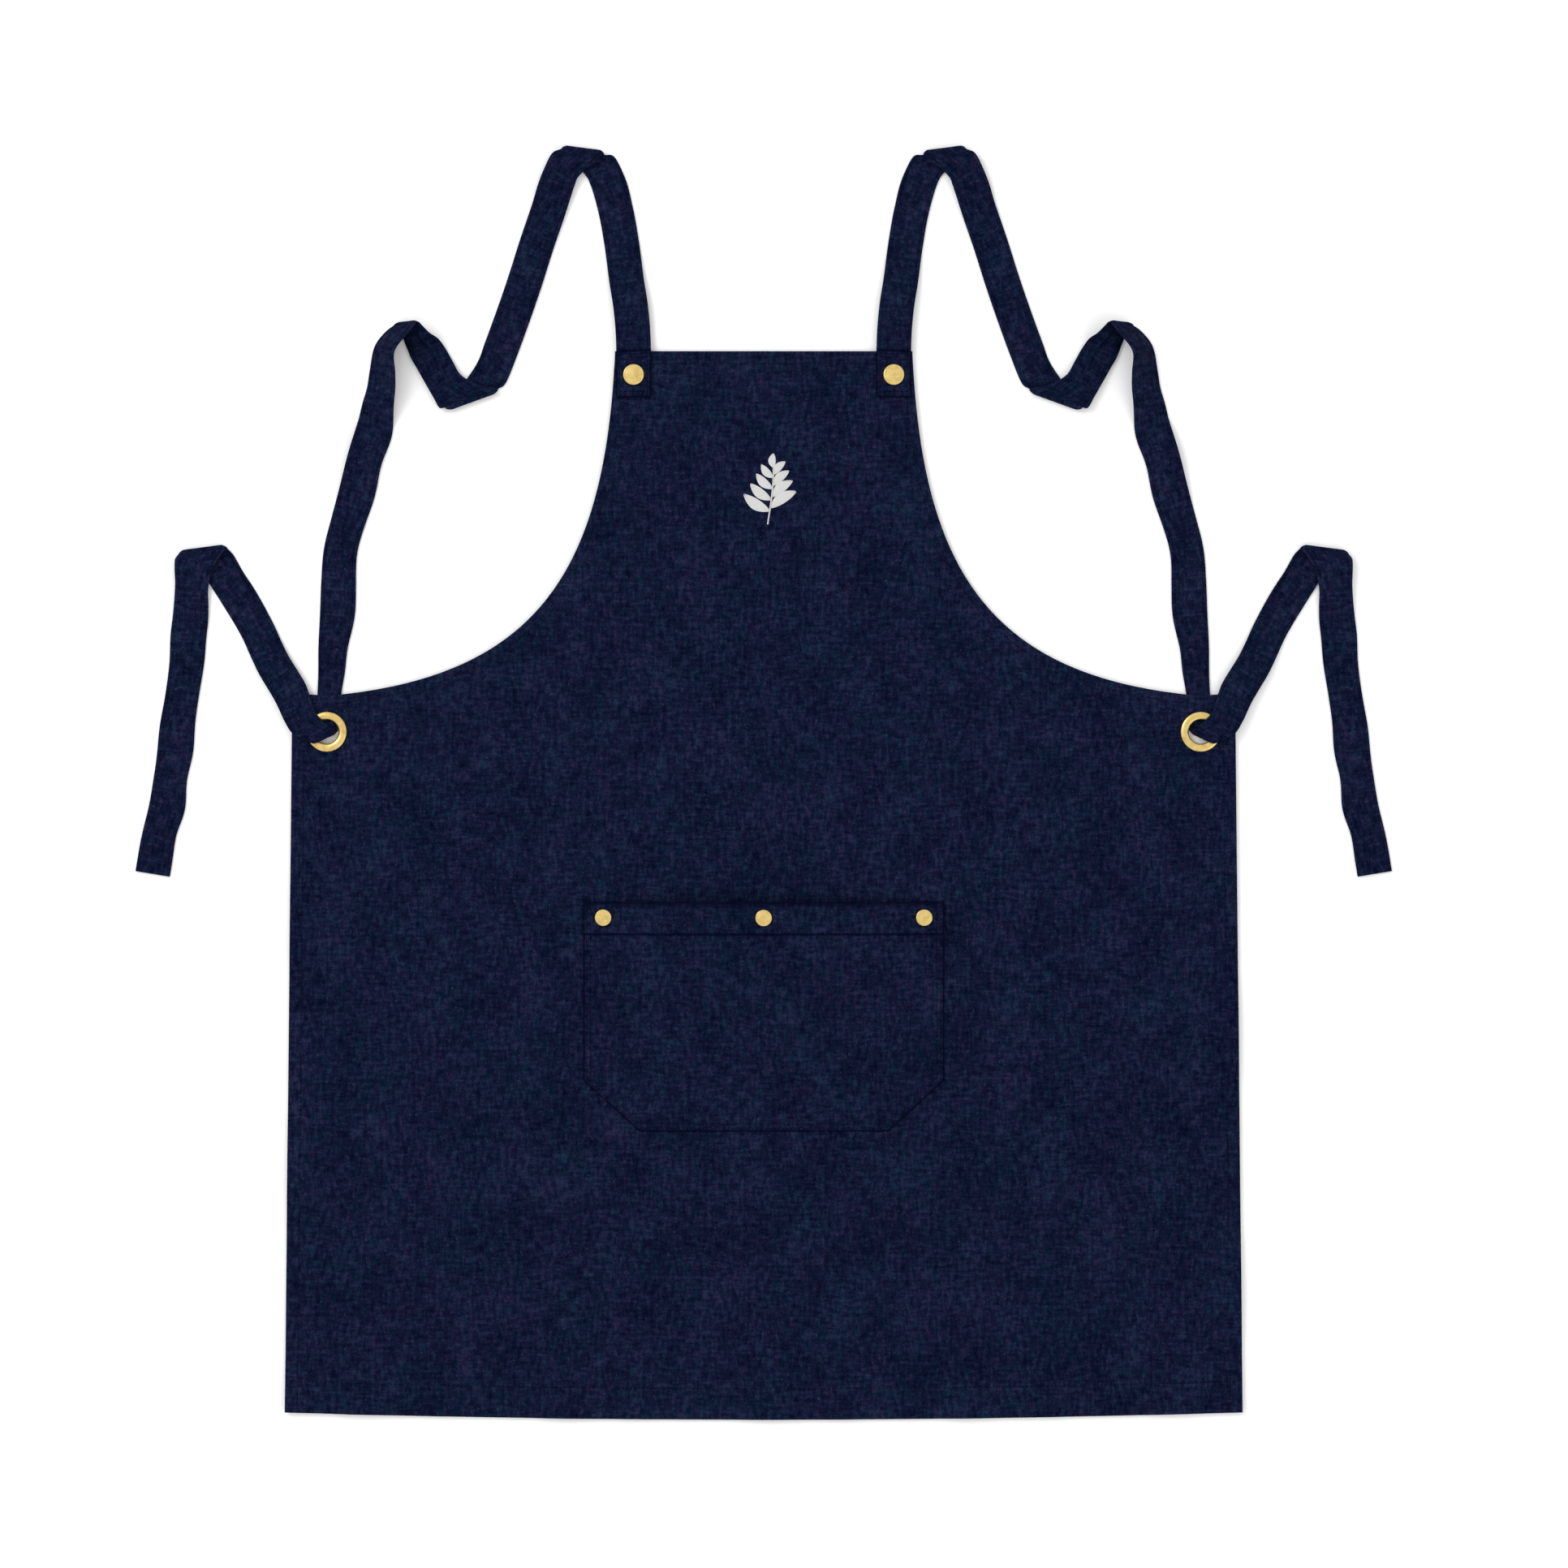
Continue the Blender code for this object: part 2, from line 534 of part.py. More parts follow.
def shell(name, look, ys, lift, columns=20):
    """A ply of cloth that follows the pocket's bulge between rows at the given ys."""
    bm = bmesh.new()
    rings = []
    for y in ys:
        bottom = -POCKET_DEPTH - POCKET_HEIGHT
        cut_in = max(0, 1 - (y - bottom) / POCKET_CORNER[1]) * POCKET_CORNER[0]
        half = POCKET_WIDTH / 2 - cut_in
        spots = [(half * (2 * k / columns - 1), y) for k in range(columns + 1)]
        lower = [bm.verts.new((x, y, ON_PANEL + lift + gape(x, y))) for x, y in spots]
        upper = [bm.verts.new((x, y, ON_PANEL + lift + gape(x, y) + CLOTH)) for x, y in spots]
        rings.append(lower + upper[::-1])
    skin(bm, rings)
    return finish(bm, name, look, apron)


def make_pocket():
    bottom = -POCKET_DEPTH - POCKET_HEIGHT
    shoulder = bottom + POCKET_CORNER[1]
    ys = [bottom + k * POCKET_CORNER[1] / 3 for k in range(3)]
    ys += [shoulder + k * (-POCKET_DEPTH - shoulder) / 9 for k in range(10)]
    pocket = shell("pocket", denim, ys, 0)
    band_ys = [-POCKET_DEPTH - BAND_HEIGHT + k * BAND_HEIGHT / 4 for k in range(5)]
    band = shell("pocket_mouth_band", denim, band_ys, CLOTH + GAP)
    rivets = {"left": -CORNER_RIVET_X, "centre": 0, "right": CORNER_RIVET_X}
    places = [Vector((x, RIVET_Y)) for x in rivets.values()]
    drill(pocket, places, POST_HOLE)
    drill(band, places, POST_HOLE)
    for side, x in rivets.items():
        reach = cap_reach(x)
        underside = PANEL_Z if x else ON_PANEL + gape(0, RIVET_Y)
        make_rivet(f"pocket_rivet_{side}", Vector((x, RIVET_Y)), RIVET_CAP, reach, underside)


def cap_reach(x):
    """The highest point of the mouth band under a rivet's cap."""
    spots = ((x + dx * RIVET_CAP, RIVET_Y + dy * RIVET_CAP) for dx in (-1, 0, 1) for dy in (-1, 0, 1))
    return ON_PANEL + 2 * CLOTH + GAP + max(gape(*spot) for spot in spots)


def centre_on_origin():
    """Moves the apron so that the middle of everything's box is over the origin."""
    bpy.context.view_layer.update()
    heights = [(obj.matrix_world @ v.co).y for obj in bpy.data.objects
               if obj.type == "MESH" and not obj.hide_render for v in obj.data.vertices]
    apron.location.y = -(max(heights) + min(heights)) / 2


clear_scene()
apron = bpy.data.objects.new("apron", None)
bpy.context.collection.objects.link(apron)
denim = material("denim", DENIM, 0.92, 0)
dark_denim = material("facing_tape", DARK_DENIM, 0.9, 0)
brass = material("brass", BRASS, 0.34, 1)
make_body_panel()
make_pocket()
for side, flip in (("left", False), ("right", True)):
    make_facing(side, flip)
    make_shoulder_strap(side, flip)
    make_tie(side, flip)
    make_eyelet(side, flip)
    make_rivet(f"{side}_strap_stud", mirror(STUD) if flip else STUD, STUD_CAP, TAB_TOP, PANEL_Z)
centre_on_origin()
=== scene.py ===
"""The visual model of a cross-back denim bib apron, laid flat on its back with its front up.

Everything is in metres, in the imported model's frame: the table is z = 0 and the bib points to +Y. Left
pieces are drawn, and right pieces are their mirror images in x = 0.
"""
import math

import bpy
import numpy as np
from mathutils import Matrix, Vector
from mathutils.geometry import delaunay_2d_cdt


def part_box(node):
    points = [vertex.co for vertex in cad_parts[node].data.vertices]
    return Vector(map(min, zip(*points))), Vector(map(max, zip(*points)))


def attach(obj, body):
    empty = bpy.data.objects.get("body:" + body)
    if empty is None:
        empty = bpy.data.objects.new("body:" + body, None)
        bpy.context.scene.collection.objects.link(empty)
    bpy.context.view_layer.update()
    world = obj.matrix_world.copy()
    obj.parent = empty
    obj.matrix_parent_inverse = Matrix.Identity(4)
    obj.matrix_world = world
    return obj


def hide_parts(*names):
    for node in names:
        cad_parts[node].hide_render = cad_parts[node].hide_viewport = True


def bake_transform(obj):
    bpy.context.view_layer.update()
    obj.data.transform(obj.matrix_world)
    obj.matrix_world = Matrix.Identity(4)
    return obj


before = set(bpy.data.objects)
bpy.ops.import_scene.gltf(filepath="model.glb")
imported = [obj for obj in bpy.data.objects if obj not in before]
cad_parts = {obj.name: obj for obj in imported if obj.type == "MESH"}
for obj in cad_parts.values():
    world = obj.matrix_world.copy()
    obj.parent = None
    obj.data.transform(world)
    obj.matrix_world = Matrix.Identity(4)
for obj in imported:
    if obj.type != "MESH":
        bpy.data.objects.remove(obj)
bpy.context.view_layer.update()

MM = 0.001

# Places read from the frame
PANEL_LOW, PANEL_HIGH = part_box("body_panel")
BIB_Y, HEM_Y, PANEL_TOP, HEM_HALF = PANEL_HIGH.y, PANEL_LOW.y, PANEL_HIGH.z, PANEL_HIGH.x


def middle_of(node):
    lowest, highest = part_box(node)
    return (lowest + highest) / 2


STUD = middle_of("left_strap_stud").to_2d()
EYELET = middle_of("left_eyelet").to_2d()
TAB = Vector((STUD.x, BIB_Y))
POCKET_LOW, POCKET_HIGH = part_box("pocket")
BAND_LOW, BAND_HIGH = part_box("pocket_mouth_band")
TAB_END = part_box("left_strap_tab")[0].y
STRAP_THICKNESS = 1.6 * MM

# The panel's outline and hems
BIB_HALF = 111.3 * MM
WAIST_HALF = 353 * MM
ARMHOLE_DEPTH = 256 * MM
ARMHOLE_DIP = 2 * MM
SIDE_FLAT = 26.6 * MM
HEM_BOW = 5.5 * MM
CLOTH = 0.9 * MM
GAP = 0.3 * MM
SIDE_HEM = 11 * MM
BOTTOM_HEM = 25 * MM
FACING = 8 * MM
STITCH_IN = 1.6 * MM  # a hem's stitches, from its folded inner edge

# The strap's route, in mm: x, y, height of its underside, half width, tilt in degrees.
# x and y run from the tab's middle on the bib edge, or from the eyelet's middle.
HALF = 13
SEWN = 3.9
TAB_LEG = [(0, 0, SEWN), (-0.9, 20, SEWN), (-2.6, 36, SEWN), (-4.9, 50, 2.6), (-9.1, 81, 0)]
LEG_1 = [(-13.4, 105, 0), (-20.4, 129.5, 0), (-24.3, 137.4, 0)]
LEG_2 = [(-52.3, 137.4, 4.2), (-55.9, 129.5, 3.4), (-64.1, 105, 1), (-72.4, 81, 0), (-82.1, 50.5, 0),
         (-92.7, 20, 0), (-99.4, 1.8, 0), (-106.7, -16.4, 0)]
LEG_3 = [(-130.7, -34, 4.4), (-138.6, -27.4, 3.9), (-146.5, -14.6, 2.4), (-152.3, -4.3, 1.4),
         (-156.3, 1.8, 1, HALF, 8), (-161.1, 8.5, 0.6, HALF, 24)]
LEG_4_TOP = [(-176.9, 12.2, 2.6, HALF, 50), (-185.4, 1.8, 1.2, HALF, 50), (-187.9, -16.4, 0.4, HALF, 40),
             (-188.5, -28.6, 0, HALF, 30), (-190.6, -40.7, 0, HALF, 16), (-193.3, -52.9, 0)]
LEG_4_FOOT = [(16.4, 159, 0), (10.6, 135, 0), (8.5, 111, 0), (7, 86, 0, 12.6), (4.9, 62, 0, 11.3),
              (2.4, 38, 0, 9.3), (1, 19.5, 0, 8.6)]
TIE_LEG = [(-26.8, 28.4, SEWN + 0.4), (-32.2, 37.7, SEWN), (-39.5, 49.9, 3), (-45.3, 62, 1.4),
           (-50.8, 74.2, 0.4), (-57.5, 86.3, 0), (-65.1, 98.5, 0), (-72.7, 110.7, 0), (-81.2, 124.6, 0)]
END_LEG = [(-97.6, 128.9, 4.4), (-99.4, 122.8, 4.2), (-100.3, 110, 3), (-101.2, 98.5, 1.6),
           (-102.7, 86, 0.5), (-104.3, 74.2, 0), (-105.2, 50, 0), (-108.2, 25.5, 0), (-112.8, 1, 0),
           (-115.8, -29.2, 0), (-121.3, -59.6, 0), (-128, -90, 0), (-130.7, -106.4, 0)]
# Creases: x, y, angle of the crease line, half its length, tilt
CREASE_1 = (-37.7, 151.4, -7.5, 16, 0)
CREASE_2 = (-120.7, -37.4, 19.9, 21, 0)
CREASE_3 = (-167.2, 20.7, 0, 13, 46)
TIE_CREASE = (-93, 137.4, 7.5, 18, 0)
# Through the eyelet, in mm from its middle: the strap's middle, then the vector from it to the strap's edge
THROUGH = [(0.95, 18.9, 0.85, 9.2, 0, 0), (0.7, 10, 0.85, 9.4, 0, 0), (0.6, 4, 0.95, 8.8, 0.6, 0),
           (0.3, -0.6, 1.7, 7.9, 1.6, 0), (0.1, -3.2, 3.4, 6.5, 2.6, 0), (-0.7, -4.4, 5.2, 7, 3.3, 0),
           (-1.5, -4.6, 6.7, 8.6, 4, 0), (-4.5, -2.6, 7.4, 8.9, 4.7, 0), (-10.1, 0.7, 7, 9.3, 5.6, 0),
           (-17.2, 7, 6.5, 9.4, 7, 0), (-21.4, 15.2, 5.9, 10.8, 5.8, 0)]
CREASE_REACH = 25 * MM
FOLD_RADIUS = 2.2 * MM

# Points near the tab and the eyelet, and a way out from the eyelet, for the bend points of the loop and the
# tie
HINGE_TOP = TAB + Vector((0, 17.6)) * MM
HINGE_FOOT = EYELET + Vector((2.1, 42.6)) * MM
SWIVEL_WAY = Vector((-0.84, 0.55)).normalized()


# Materials

class Graph:
    """Short calls for building a node material."""

    def __init__(self, name, roughness):
        self.material = bpy.data.materials.new(name)
        self.material.use_nodes = True
        self.tree = self.material.node_tree
        self.shader = self.tree.nodes["Principled BSDF"]
        self.shader.inputs["Roughness"].default_value = roughness

    def node(self, kind, settings=(), **inputs):
        made = self.tree.nodes.new(kind)
        for key, value in dict(settings).items():
            setattr(made, key, value)
        for key, value in inputs.items():
            socket = made.inputs[int(key[1:]) if key[1:].isdigit() else key.replace("_", " ")]
            self.feed(socket, value)
        return made

    def feed(self, socket, value):
        if isinstance(value, bpy.types.NodeSocket):
            self.tree.links.new(value, socket)
        else:
            socket.default_value = value

    def stretch(self, vector, scale):
        return self.node("ShaderNodeMapping", Vector=vector, Scale=scale).outputs[0]

    def noise(self, vector, scale, detail=2.0, rough=0.5):
        made = self.node("ShaderNodeTexNoise", Vector=self.stretch(vector, scale), Scale=1.0, Detail=detail,
                         Roughness=rough)
        return made.outputs["Fac"]

    def ramp(self, value, stops):
        made = self.node("ShaderNodeValToRGB", Fac=value)
        points = made.color_ramp.elements
        while len(points) < len(stops):
            points.new(0.5)
        for point, (place, colour) in zip(points, stops):
            point.position = place
            point.color = (*colour, 1) if len(colour) == 3 else colour
        return made.outputs[0]

    def math(self, operation, a, b=0.0):
        return self.node("ShaderNodeMath", {"operation": operation}, _0=a, _1=b).outputs[0]

    def weighted(self, *terms):
        """The sum of several (value, weight) pairs."""
        parts = [self.math("MULTIPLY", value, weight) for value, weight in terms]
        total = parts[0]
        for part in parts[1:]:
            total = self.math("ADD", total, part)
        return total

    def mix(self, share, a, b, blend="MIX"):
        made = self.node("ShaderNodeMix", {"data_type": "RGBA", "blend_type": blend})
        for slot, value in ((0, share), (6, a), (7, b)):
            self.feed(made.inputs[slot], value)
        return made.outputs[2]

    def bump(self, height, strength, distance):
        made = self.node("ShaderNodeBump", Height=height, Strength=strength, Distance=distance)
        self.tree.links.new(made.outputs[0], self.shader.inputs["Normal"])

    def cloth_place(self):
        return self.node("ShaderNodeAttribute", {"attribute_name": "cloth"}).outputs["Vector"]

    def object_place(self):
        return self.node("ShaderNodeTexCoord").outputs["Object"]

    def finished(self, tone, specular=0.5):
        """The material, with its colour and its specular level set."""
        self.feed(self.shader.inputs["Base Color"], tone)
        self.shader.inputs["Specular IOR Level"].default_value = specular
        return self.material


def grey(value):
    return (value, value, value, 1)


# Denim's colours, in linear light, and the painted shade for seam lines and cloth edges
DENIM_TONES = [(0.44, (0.0008, 0.0020, 0.0120)), (0.54, (0.0040, 0.0068, 0.0235)),
               (0.66, (0.0142, 0.0192, 0.0500))]
FLECK, FADED, PAINTED_SEAM_SHADE = (0.04, 0.047, 0.082, 1), (0.022, 0.028, 0.06, 1), (0.0006, 0.001, 0.009, 1)
THREAD_COLOUR = (0.0012, 0.002, 0.012)


def make_denim(name, tint=1.0):
    """Indigo denim: slubby warp and weft, a diagonal twill, pale flecks, faded folds and painted shade along
    seams and cloth edges.
    """
    graph = Graph(name, 0.95)
    where = graph.cloth_place()
    slub = graph.noise(where, (330, 105, 330), 3.0, 0.6)
    cross = graph.noise(where, (110, 360, 110), 3.0, 0.6)
    grain = graph.noise(where, (640, 580, 640), 2.0, 0.7)
    blotch = graph.noise(where, (30, 22, 30), 4.0, 0.6)
    hue = graph.noise(where, (150, 115, 150), 3.0, 0.6)
    drift = graph.noise(where, (21, 16, 21), 3.0, 0.5)
    fleck = graph.noise(where, (620, 400, 620), 1.0, 0.4)
    twill = graph.node("ShaderNodeTexWave", {"wave_type": "BANDS", "bands_direction": "DIAGONAL"},
                       Vector=where, Scale=700.0, Distortion=1.6, Detail=1.0).outputs["Fac"]
    # The attribute is real wear where positive and painted shade where negative.
    wear_and_shade = graph.node("ShaderNodeAttribute", {"attribute_name": "wear_and_shade"}).outputs["Fac"]
    mixed = graph.weighted((slub, 0.36), (cross, 0.3), (grain, 0.22), (blotch, 0.2))
    tone = graph.ramp(mixed, [(stop, tuple(tint * v for v in colour)) for stop, colour in DENIM_TONES])
    hues = graph.ramp(hue, [(0.38, (0.7, 1.14, 1.02)), (0.5, (1, 1, 1)), (0.62, (1.36, 0.93, 1.07))])
    tone = graph.mix(0.85, tone, hues, "MULTIPLY")
    drifts = graph.ramp(drift, [(0.38, (0.82, 1.06, 1.0)), (0.62, (1.16, 0.96, 1.03))])
    tone = graph.mix(0.8, tone, drifts, "MULTIPLY")
    flecks = graph.ramp(fleck, [(0.69, grey(0)), (0.78, grey(1))])
    tone = graph.mix(graph.math("MULTIPLY", flecks, 0.5), tone, FLECK)
    lines = graph.ramp(twill, [(0.1, grey(0.66)), (0.9, grey(1.36))])
    tone = graph.mix(1.0, tone, lines, "MULTIPLY")
    patchy = graph.ramp(slub, [(0.38, grey(0.1)), (0.62, grey(1))])
    worn = graph.math("MULTIPLY", graph.math("MAXIMUM", wear_and_shade, 0.0), patchy)
    tone = graph.mix(graph.math("MULTIPLY", worn, 0.3), tone, FADED)
    # Painted shade: negative values of the attribute darken the lines along seams, pocket and band edges and
    # the tab's box.
    seam = graph.math("MAXIMUM", graph.math("MULTIPLY", wear_and_shade, -1.0), 0.0)
    tone = graph.mix(graph.math("MULTIPLY", seam, 0.85), tone, PAINTED_SEAM_SHADE)
    graph.bump(graph.weighted((twill, 0.45), (mixed, 1.6)), 0.55, 0.0004)
    return graph.finished(tone, 0.03)


def make_thread():
    """Matt navy sewing thread."""
    graph = Graph("navy_thread", 0.9)
    where = graph.object_place()
    shade = graph.noise(where, (900, 900, 900), 2.0)
    tone = graph.ramp(shade, [(0.35, tuple(0.72 * v for v in THREAD_COLOUR)), (0.65, THREAD_COLOUR)])
    graph.bump(graph.noise(where, (2600, 2600, 2600), 1.0), 0.35, 0.0002)
    return graph.finished(tone, 0.05)


def make_satin():
    """White embroidery, its threads side by side across each leaf."""
    graph = Graph("satin_thread", 0.5)
    threads = graph.node("ShaderNodeTexWave", {"wave_type": "BANDS", "bands_direction": "X"},
                         Vector=graph.cloth_place(), Scale=620.0, Distortion=0.6, Detail=1.0).outputs["Fac"]
    tone = graph.ramp(threads, [(0, (0.5, 0.5, 0.5)), (0.5, (0.68, 0.68, 0.665))])
    graph.bump(threads, 0.7, 0.0002)
    return graph.finished(tone, 0.2)


def make_brass():
    """Brushed brass with slight tarnish and fine scratches."""
    graph = Graph("brushed_brass", 0.36)
    where = graph.object_place()
    graph.shader.inputs["Metallic"].default_value = 1
    tarnish = graph.noise(where, (240, 240, 240), 4.0, 0.6)
    tone = graph.ramp(tarnish, [(0.3, (0.57, 0.41, 0.135)), (0.5, (0.68, 0.505, 0.175)),
                                (0.7, (0.76, 0.59, 0.25))])
    rough = graph.ramp(graph.noise(where, (520, 520, 520), 3.0), [(0.3, grey(0.28)), (0.7, grey(0.46))])
    graph.feed(graph.shader.inputs["Roughness"], rough)
    graph.bump(graph.noise(where, (1800, 1800, 300), 3.0, 0.7), 0.12, 0.0002)
    return graph.finished(tone)


def make_floor_look():
    """Matt pale studio floor."""
    graph = Graph("studio_floor", 0.9)
    cloudy = graph.noise(graph.object_place(), (3, 3, 3))
    return graph.finished(graph.ramp(cloudy, [(0, (0.93, 0.93, 0.93)), (1, (0.95, 0.95, 0.95))]), 0.0)


denim = make_denim("denim_cloth")
denim_tape = make_denim("denim_tape", 0.8)
navy_thread = make_thread()
satin = make_satin()
brass = make_brass()


# Mesh helpers

def build(name, points, faces, look, cloth=None, wear_and_shade=None, smooth_angle=50):
    """A mesh object from arrays, with its place on the flat cloth and its wear and painted shade kept as
    attributes.
    """
    mesh = bpy.data.meshes.new(name)
    mesh.from_pydata([tuple(p) for p in points], [], [tuple(int(i) for i in f) for f in faces])
    mesh.validate()
    if cloth is not None:
        flat = np.zeros((len(mesh.vertices), 3), np.float32)
        flat[:, :2] = np.asarray(cloth)[:, :2]
        mesh.attributes.new("cloth", "FLOAT_VECTOR", "POINT").data.foreach_set("vector", flat.ravel())
        shades = np.zeros(len(mesh.vertices), np.float32) if wear_and_shade is None else np.asarray(wear_and_shade, np.float32)
        mesh.attributes.new("wear_and_shade", "FLOAT", "POINT").data.foreach_set("value", shades)
    mesh.shade_smooth()
    mesh.set_sharp_from_angle(angle=math.radians(smooth_angle))
    mesh.materials.append(look)
    obj = bpy.data.objects.new(name, mesh)
    bpy.context.collection.objects.link(obj)
    return obj


def smoothstep(values, start, end):
    t = np.clip((np.asarray(values, float) - start) / (end - start), 0, 1)
    return t * t * (3 - 2 * t)


def unit(rows):
    return rows / np.linalg.norm(rows, axis=1)[:, None]


def travelled(points):
    """Distance along a line at each of its points."""
    gaps = np.linalg.norm(np.diff(points, axis=0), axis=1)
    return np.concatenate([[0], np.cumsum(gaps)])


def bell(off, reach):
    return np.exp(-(off / reach) ** 2)


def puckers(along, length, uneven, pace):
    """Uneven waves from -1 to 1, about a length apart."""
    return np.sin(along * math.tau / length + uneven * np.sin(along * pace))


def flipped(points, flip):
    """The points, or their mirror images for a right piece."""
    points = np.array(points, float)
    if flip:
        points[:, 0] *= -1
    return points


def facing_out(faces, flip):
    return [tuple(reversed(face)) for face in faces] if flip else faces


def rows_to_faces(rows, columns, closed=False, wrap=False):
    """Quads over a grid of points kept row by row."""
    faces = []
    for i in range(rows if wrap else rows - 1):
        for j in range(columns if closed else columns - 1):
            a, b = i * columns + j, i * columns + (j + 1) % columns
            shift = ((i + 1) % rows - i) * columns
            faces.append((a, b, b + shift, a + shift))
    return faces


STITCH_LENGTH = 2.3 * MM
STITCH_PITCH = 3.1 * MM
THREAD = 0.26 * MM
# Rings along a stitch: share of its half length, share of the thread's radius, lift in radii
STITCH_RINGS = [(-1, 0.25, -0.35), (-0.72, 1, 0.15), (0, 1.05, 0.42), (0.72, 1, 0.15), (1, 0.25, -0.35)]
STITCH_SIDES = 5


def stitch_run(points, normals, pitch=STITCH_PITCH, length=STITCH_LENGTH, thread=THREAD):
    """Points and faces of separate stitches along a line, each a short rounded dash."""
    points, normals = np.array(points, float), np.array(normals, float)
    run = travelled(points)
    count = int((run[-1] - length) / pitch) + 1
    made, faces = [], []

    def at(place, values):
        return np.array([np.interp(place, run, values[:, i]) for i in range(3)])

    for k in range(count):
        place = length / 2 + k * pitch
        middle, up = at(place, points), at(place, normals)
        ahead, back = at(place + length / 2, points), at(place - length / 2, points)
        way = (ahead - back) / max(np.linalg.norm(ahead - back), 1e-9)
        up = up - way * (up @ way)
        up /= max(np.linalg.norm(up), 1e-9)
        side = np.cross(way, up)
        first = len(made)
        for along, girth, lift in STITCH_RINGS:
            ring = middle + way * along * length / 2 + up * lift * thread
            for s in range(STITCH_SIDES):
                turn = math.tau * s / STITCH_SIDES
                made.append(ring + thread * girth * (side * math.cos(turn) + up * 0.8 * math.sin(turn)))
        last = first + (len(STITCH_RINGS) - 1) * STITCH_SIDES
        for f in rows_to_faces(len(STITCH_RINGS), STITCH_SIDES, closed=True):
            faces.append(tuple(first + i for i in reversed(f)))
        faces.append(tuple(first + s for s in range(STITCH_SIDES)))
        faces.append(tuple(last + s for s in reversed(range(STITCH_SIDES))))
    return made, faces


def stitching(name, runs, flip=False):
    """One object of every stitch along several (points, normals) lines."""
    points, faces = [], []
    for line, normals in runs:
        made, more = stitch_run(line, normals)
        faces += [tuple(i + len(points) for i in f) for f in more]
        points += made
    return build(name, flipped(points, flip), facing_out(faces, flip), navy_thread)


def level_run(spots, height):
    """A line for stitching(), over flat spots at the given heights, with its stitches facing up."""
    line = np.column_stack([spots, np.broadcast_to(height, len(spots))])
    return line, np.tile((0, 0, 1.0), (len(line), 1))


# Cloth laid flat

def resample(line, step):
    """Points about a step apart along a polyline."""
    line = np.array(line, float)
    run = travelled(line)
    at = np.linspace(0, run[-1], max(2, round(run[-1] / step) + 1))
    return np.stack([np.interp(at, run, line[:, i]) for i in range(line.shape[1])], axis=1)


def distance(points, line):
    """Distance of each 2-D point to a polyline."""
    points, line = np.asarray(points, float), np.asarray(line, float)
    nearest = np.full(len(points), 1e9)
    for a, b in zip(line, line[1:]):
        way = b - a
        share = np.clip(((points - a) @ way) / max(way @ way, 1e-18), 0, 1)
        nearest = np.minimum(nearest, np.linalg.norm(points - a - share[:, None] * way, axis=1))
    return nearest


def both_sides(upper, count):
    """Faces of a closed sheet: its upper faces, the same below, and walls round its border."""
    edges = {}
    for face in upper:
        edges.update(dict.fromkeys(zip(face, face[1:] + face[:1])))
    lower = [tuple(count + i for i in reversed(face)) for face in upper]
    return upper + lower + [(b, a, a + count, b + count) for a, b in edges if (b, a) not in edges]


def close_sheet(name, flat, faces, top, bottom, look, wear_and_shade):
    """A closed sheet of cloth over a flat triangulation, from the heights of its two sides."""
    upper = []
    for face in faces:
        corners = flat[list(face)]
        turn = sum(a[0] * b[1] - a[1] * b[0] for a, b in zip(corners, np.roll(corners, -1, axis=0)))
        upper.append(tuple(face) if turn > 0 else tuple(reversed(face)))
    points = np.concatenate([np.column_stack([flat, top]), np.column_stack([flat, bottom])])
    place, shades = np.concatenate([flat, flat]), np.concatenate([wear_and_shade, wear_and_shade])
    return build(name, points, both_sides(upper, len(flat)), look, place, shades)


def armhole_line(count=60):
    """The left armhole from the bib corner to the side corner."""
    start = np.array((-BIB_HALF, BIB_Y))
    end = np.array((SIDE_FLAT - WAIST_HALF, BIB_Y - ARMHOLE_DEPTH - ARMHOLE_DIP))
    first = start + np.array((-7 * MM, -0.644 * ARMHOLE_DEPTH))
    second = np.array((-BIB_HALF - 58 * MM, BIB_Y - 0.954 * ARMHOLE_DEPTH))
    t = np.linspace(0, 1, count)[:, None]
    curve = (1 - t) ** 3 * start + 3 * (1 - t) ** 2 * t * first + 3 * (1 - t) * t ** 2 * second + t ** 3 * end
    return np.concatenate([curve, [(-WAIST_HALF, BIB_Y - ARMHOLE_DEPTH)]])


def hem_curve(count=40):
    """The hem from left to right, bowed down at its middle."""
    u = np.linspace(-1, 1, count)
    return np.column_stack([HEM_HALF * u, HEM_Y + HEM_BOW * u * u])


def mirrored(line):
    return (np.array(line) * (-1, 1))[::-1]


def to_left(flat):
    """Each point, or its mirror image if it is on the right."""
    return np.column_stack([-np.abs(flat[:, 0]), flat[:, 1]])


ARMHOLE = armhole_line()
HEM = hem_curve()
SIDE = np.array([ARMHOLE[-1], HEM[0]])
BIB = np.array([(BIB_HALF, BIB_Y), (-BIB_HALF, BIB_Y)])
OUTLINE = np.concatenate([ARMHOLE, HEM, mirrored(ARMHOLE)])
EDGES = {"armhole": ARMHOLE, "side": SIDE, "bottom": HEM, "bib": BIB}
TWICE = ("armhole", "side")  # the edges that are drawn on the left only
HEMS = {"bib": SIDE_HEM, "side": SIDE_HEM, "bottom": BOTTOM_HEM}
STITCH_ROWS = {"bib": SIDE_HEM - STITCH_IN, "armhole": FACING - STITCH_IN, "side": SIDE_HEM - STITCH_IN,
               "bottom": BOTTOM_HEM - STITCH_IN}
EMBLEM = Vector((4 * MM, BIB_Y - 106 * MM))
EYELET_CUT = 10 * MM
HOLE_PARTS = 40
RIPPLES = np.random.default_rng(5)
WAVES = [(RIPPLES.uniform(14, 46), RIPPLES.uniform(0, math.tau), RIPPLES.uniform(0, math.tau))
         for _ in range(9)]


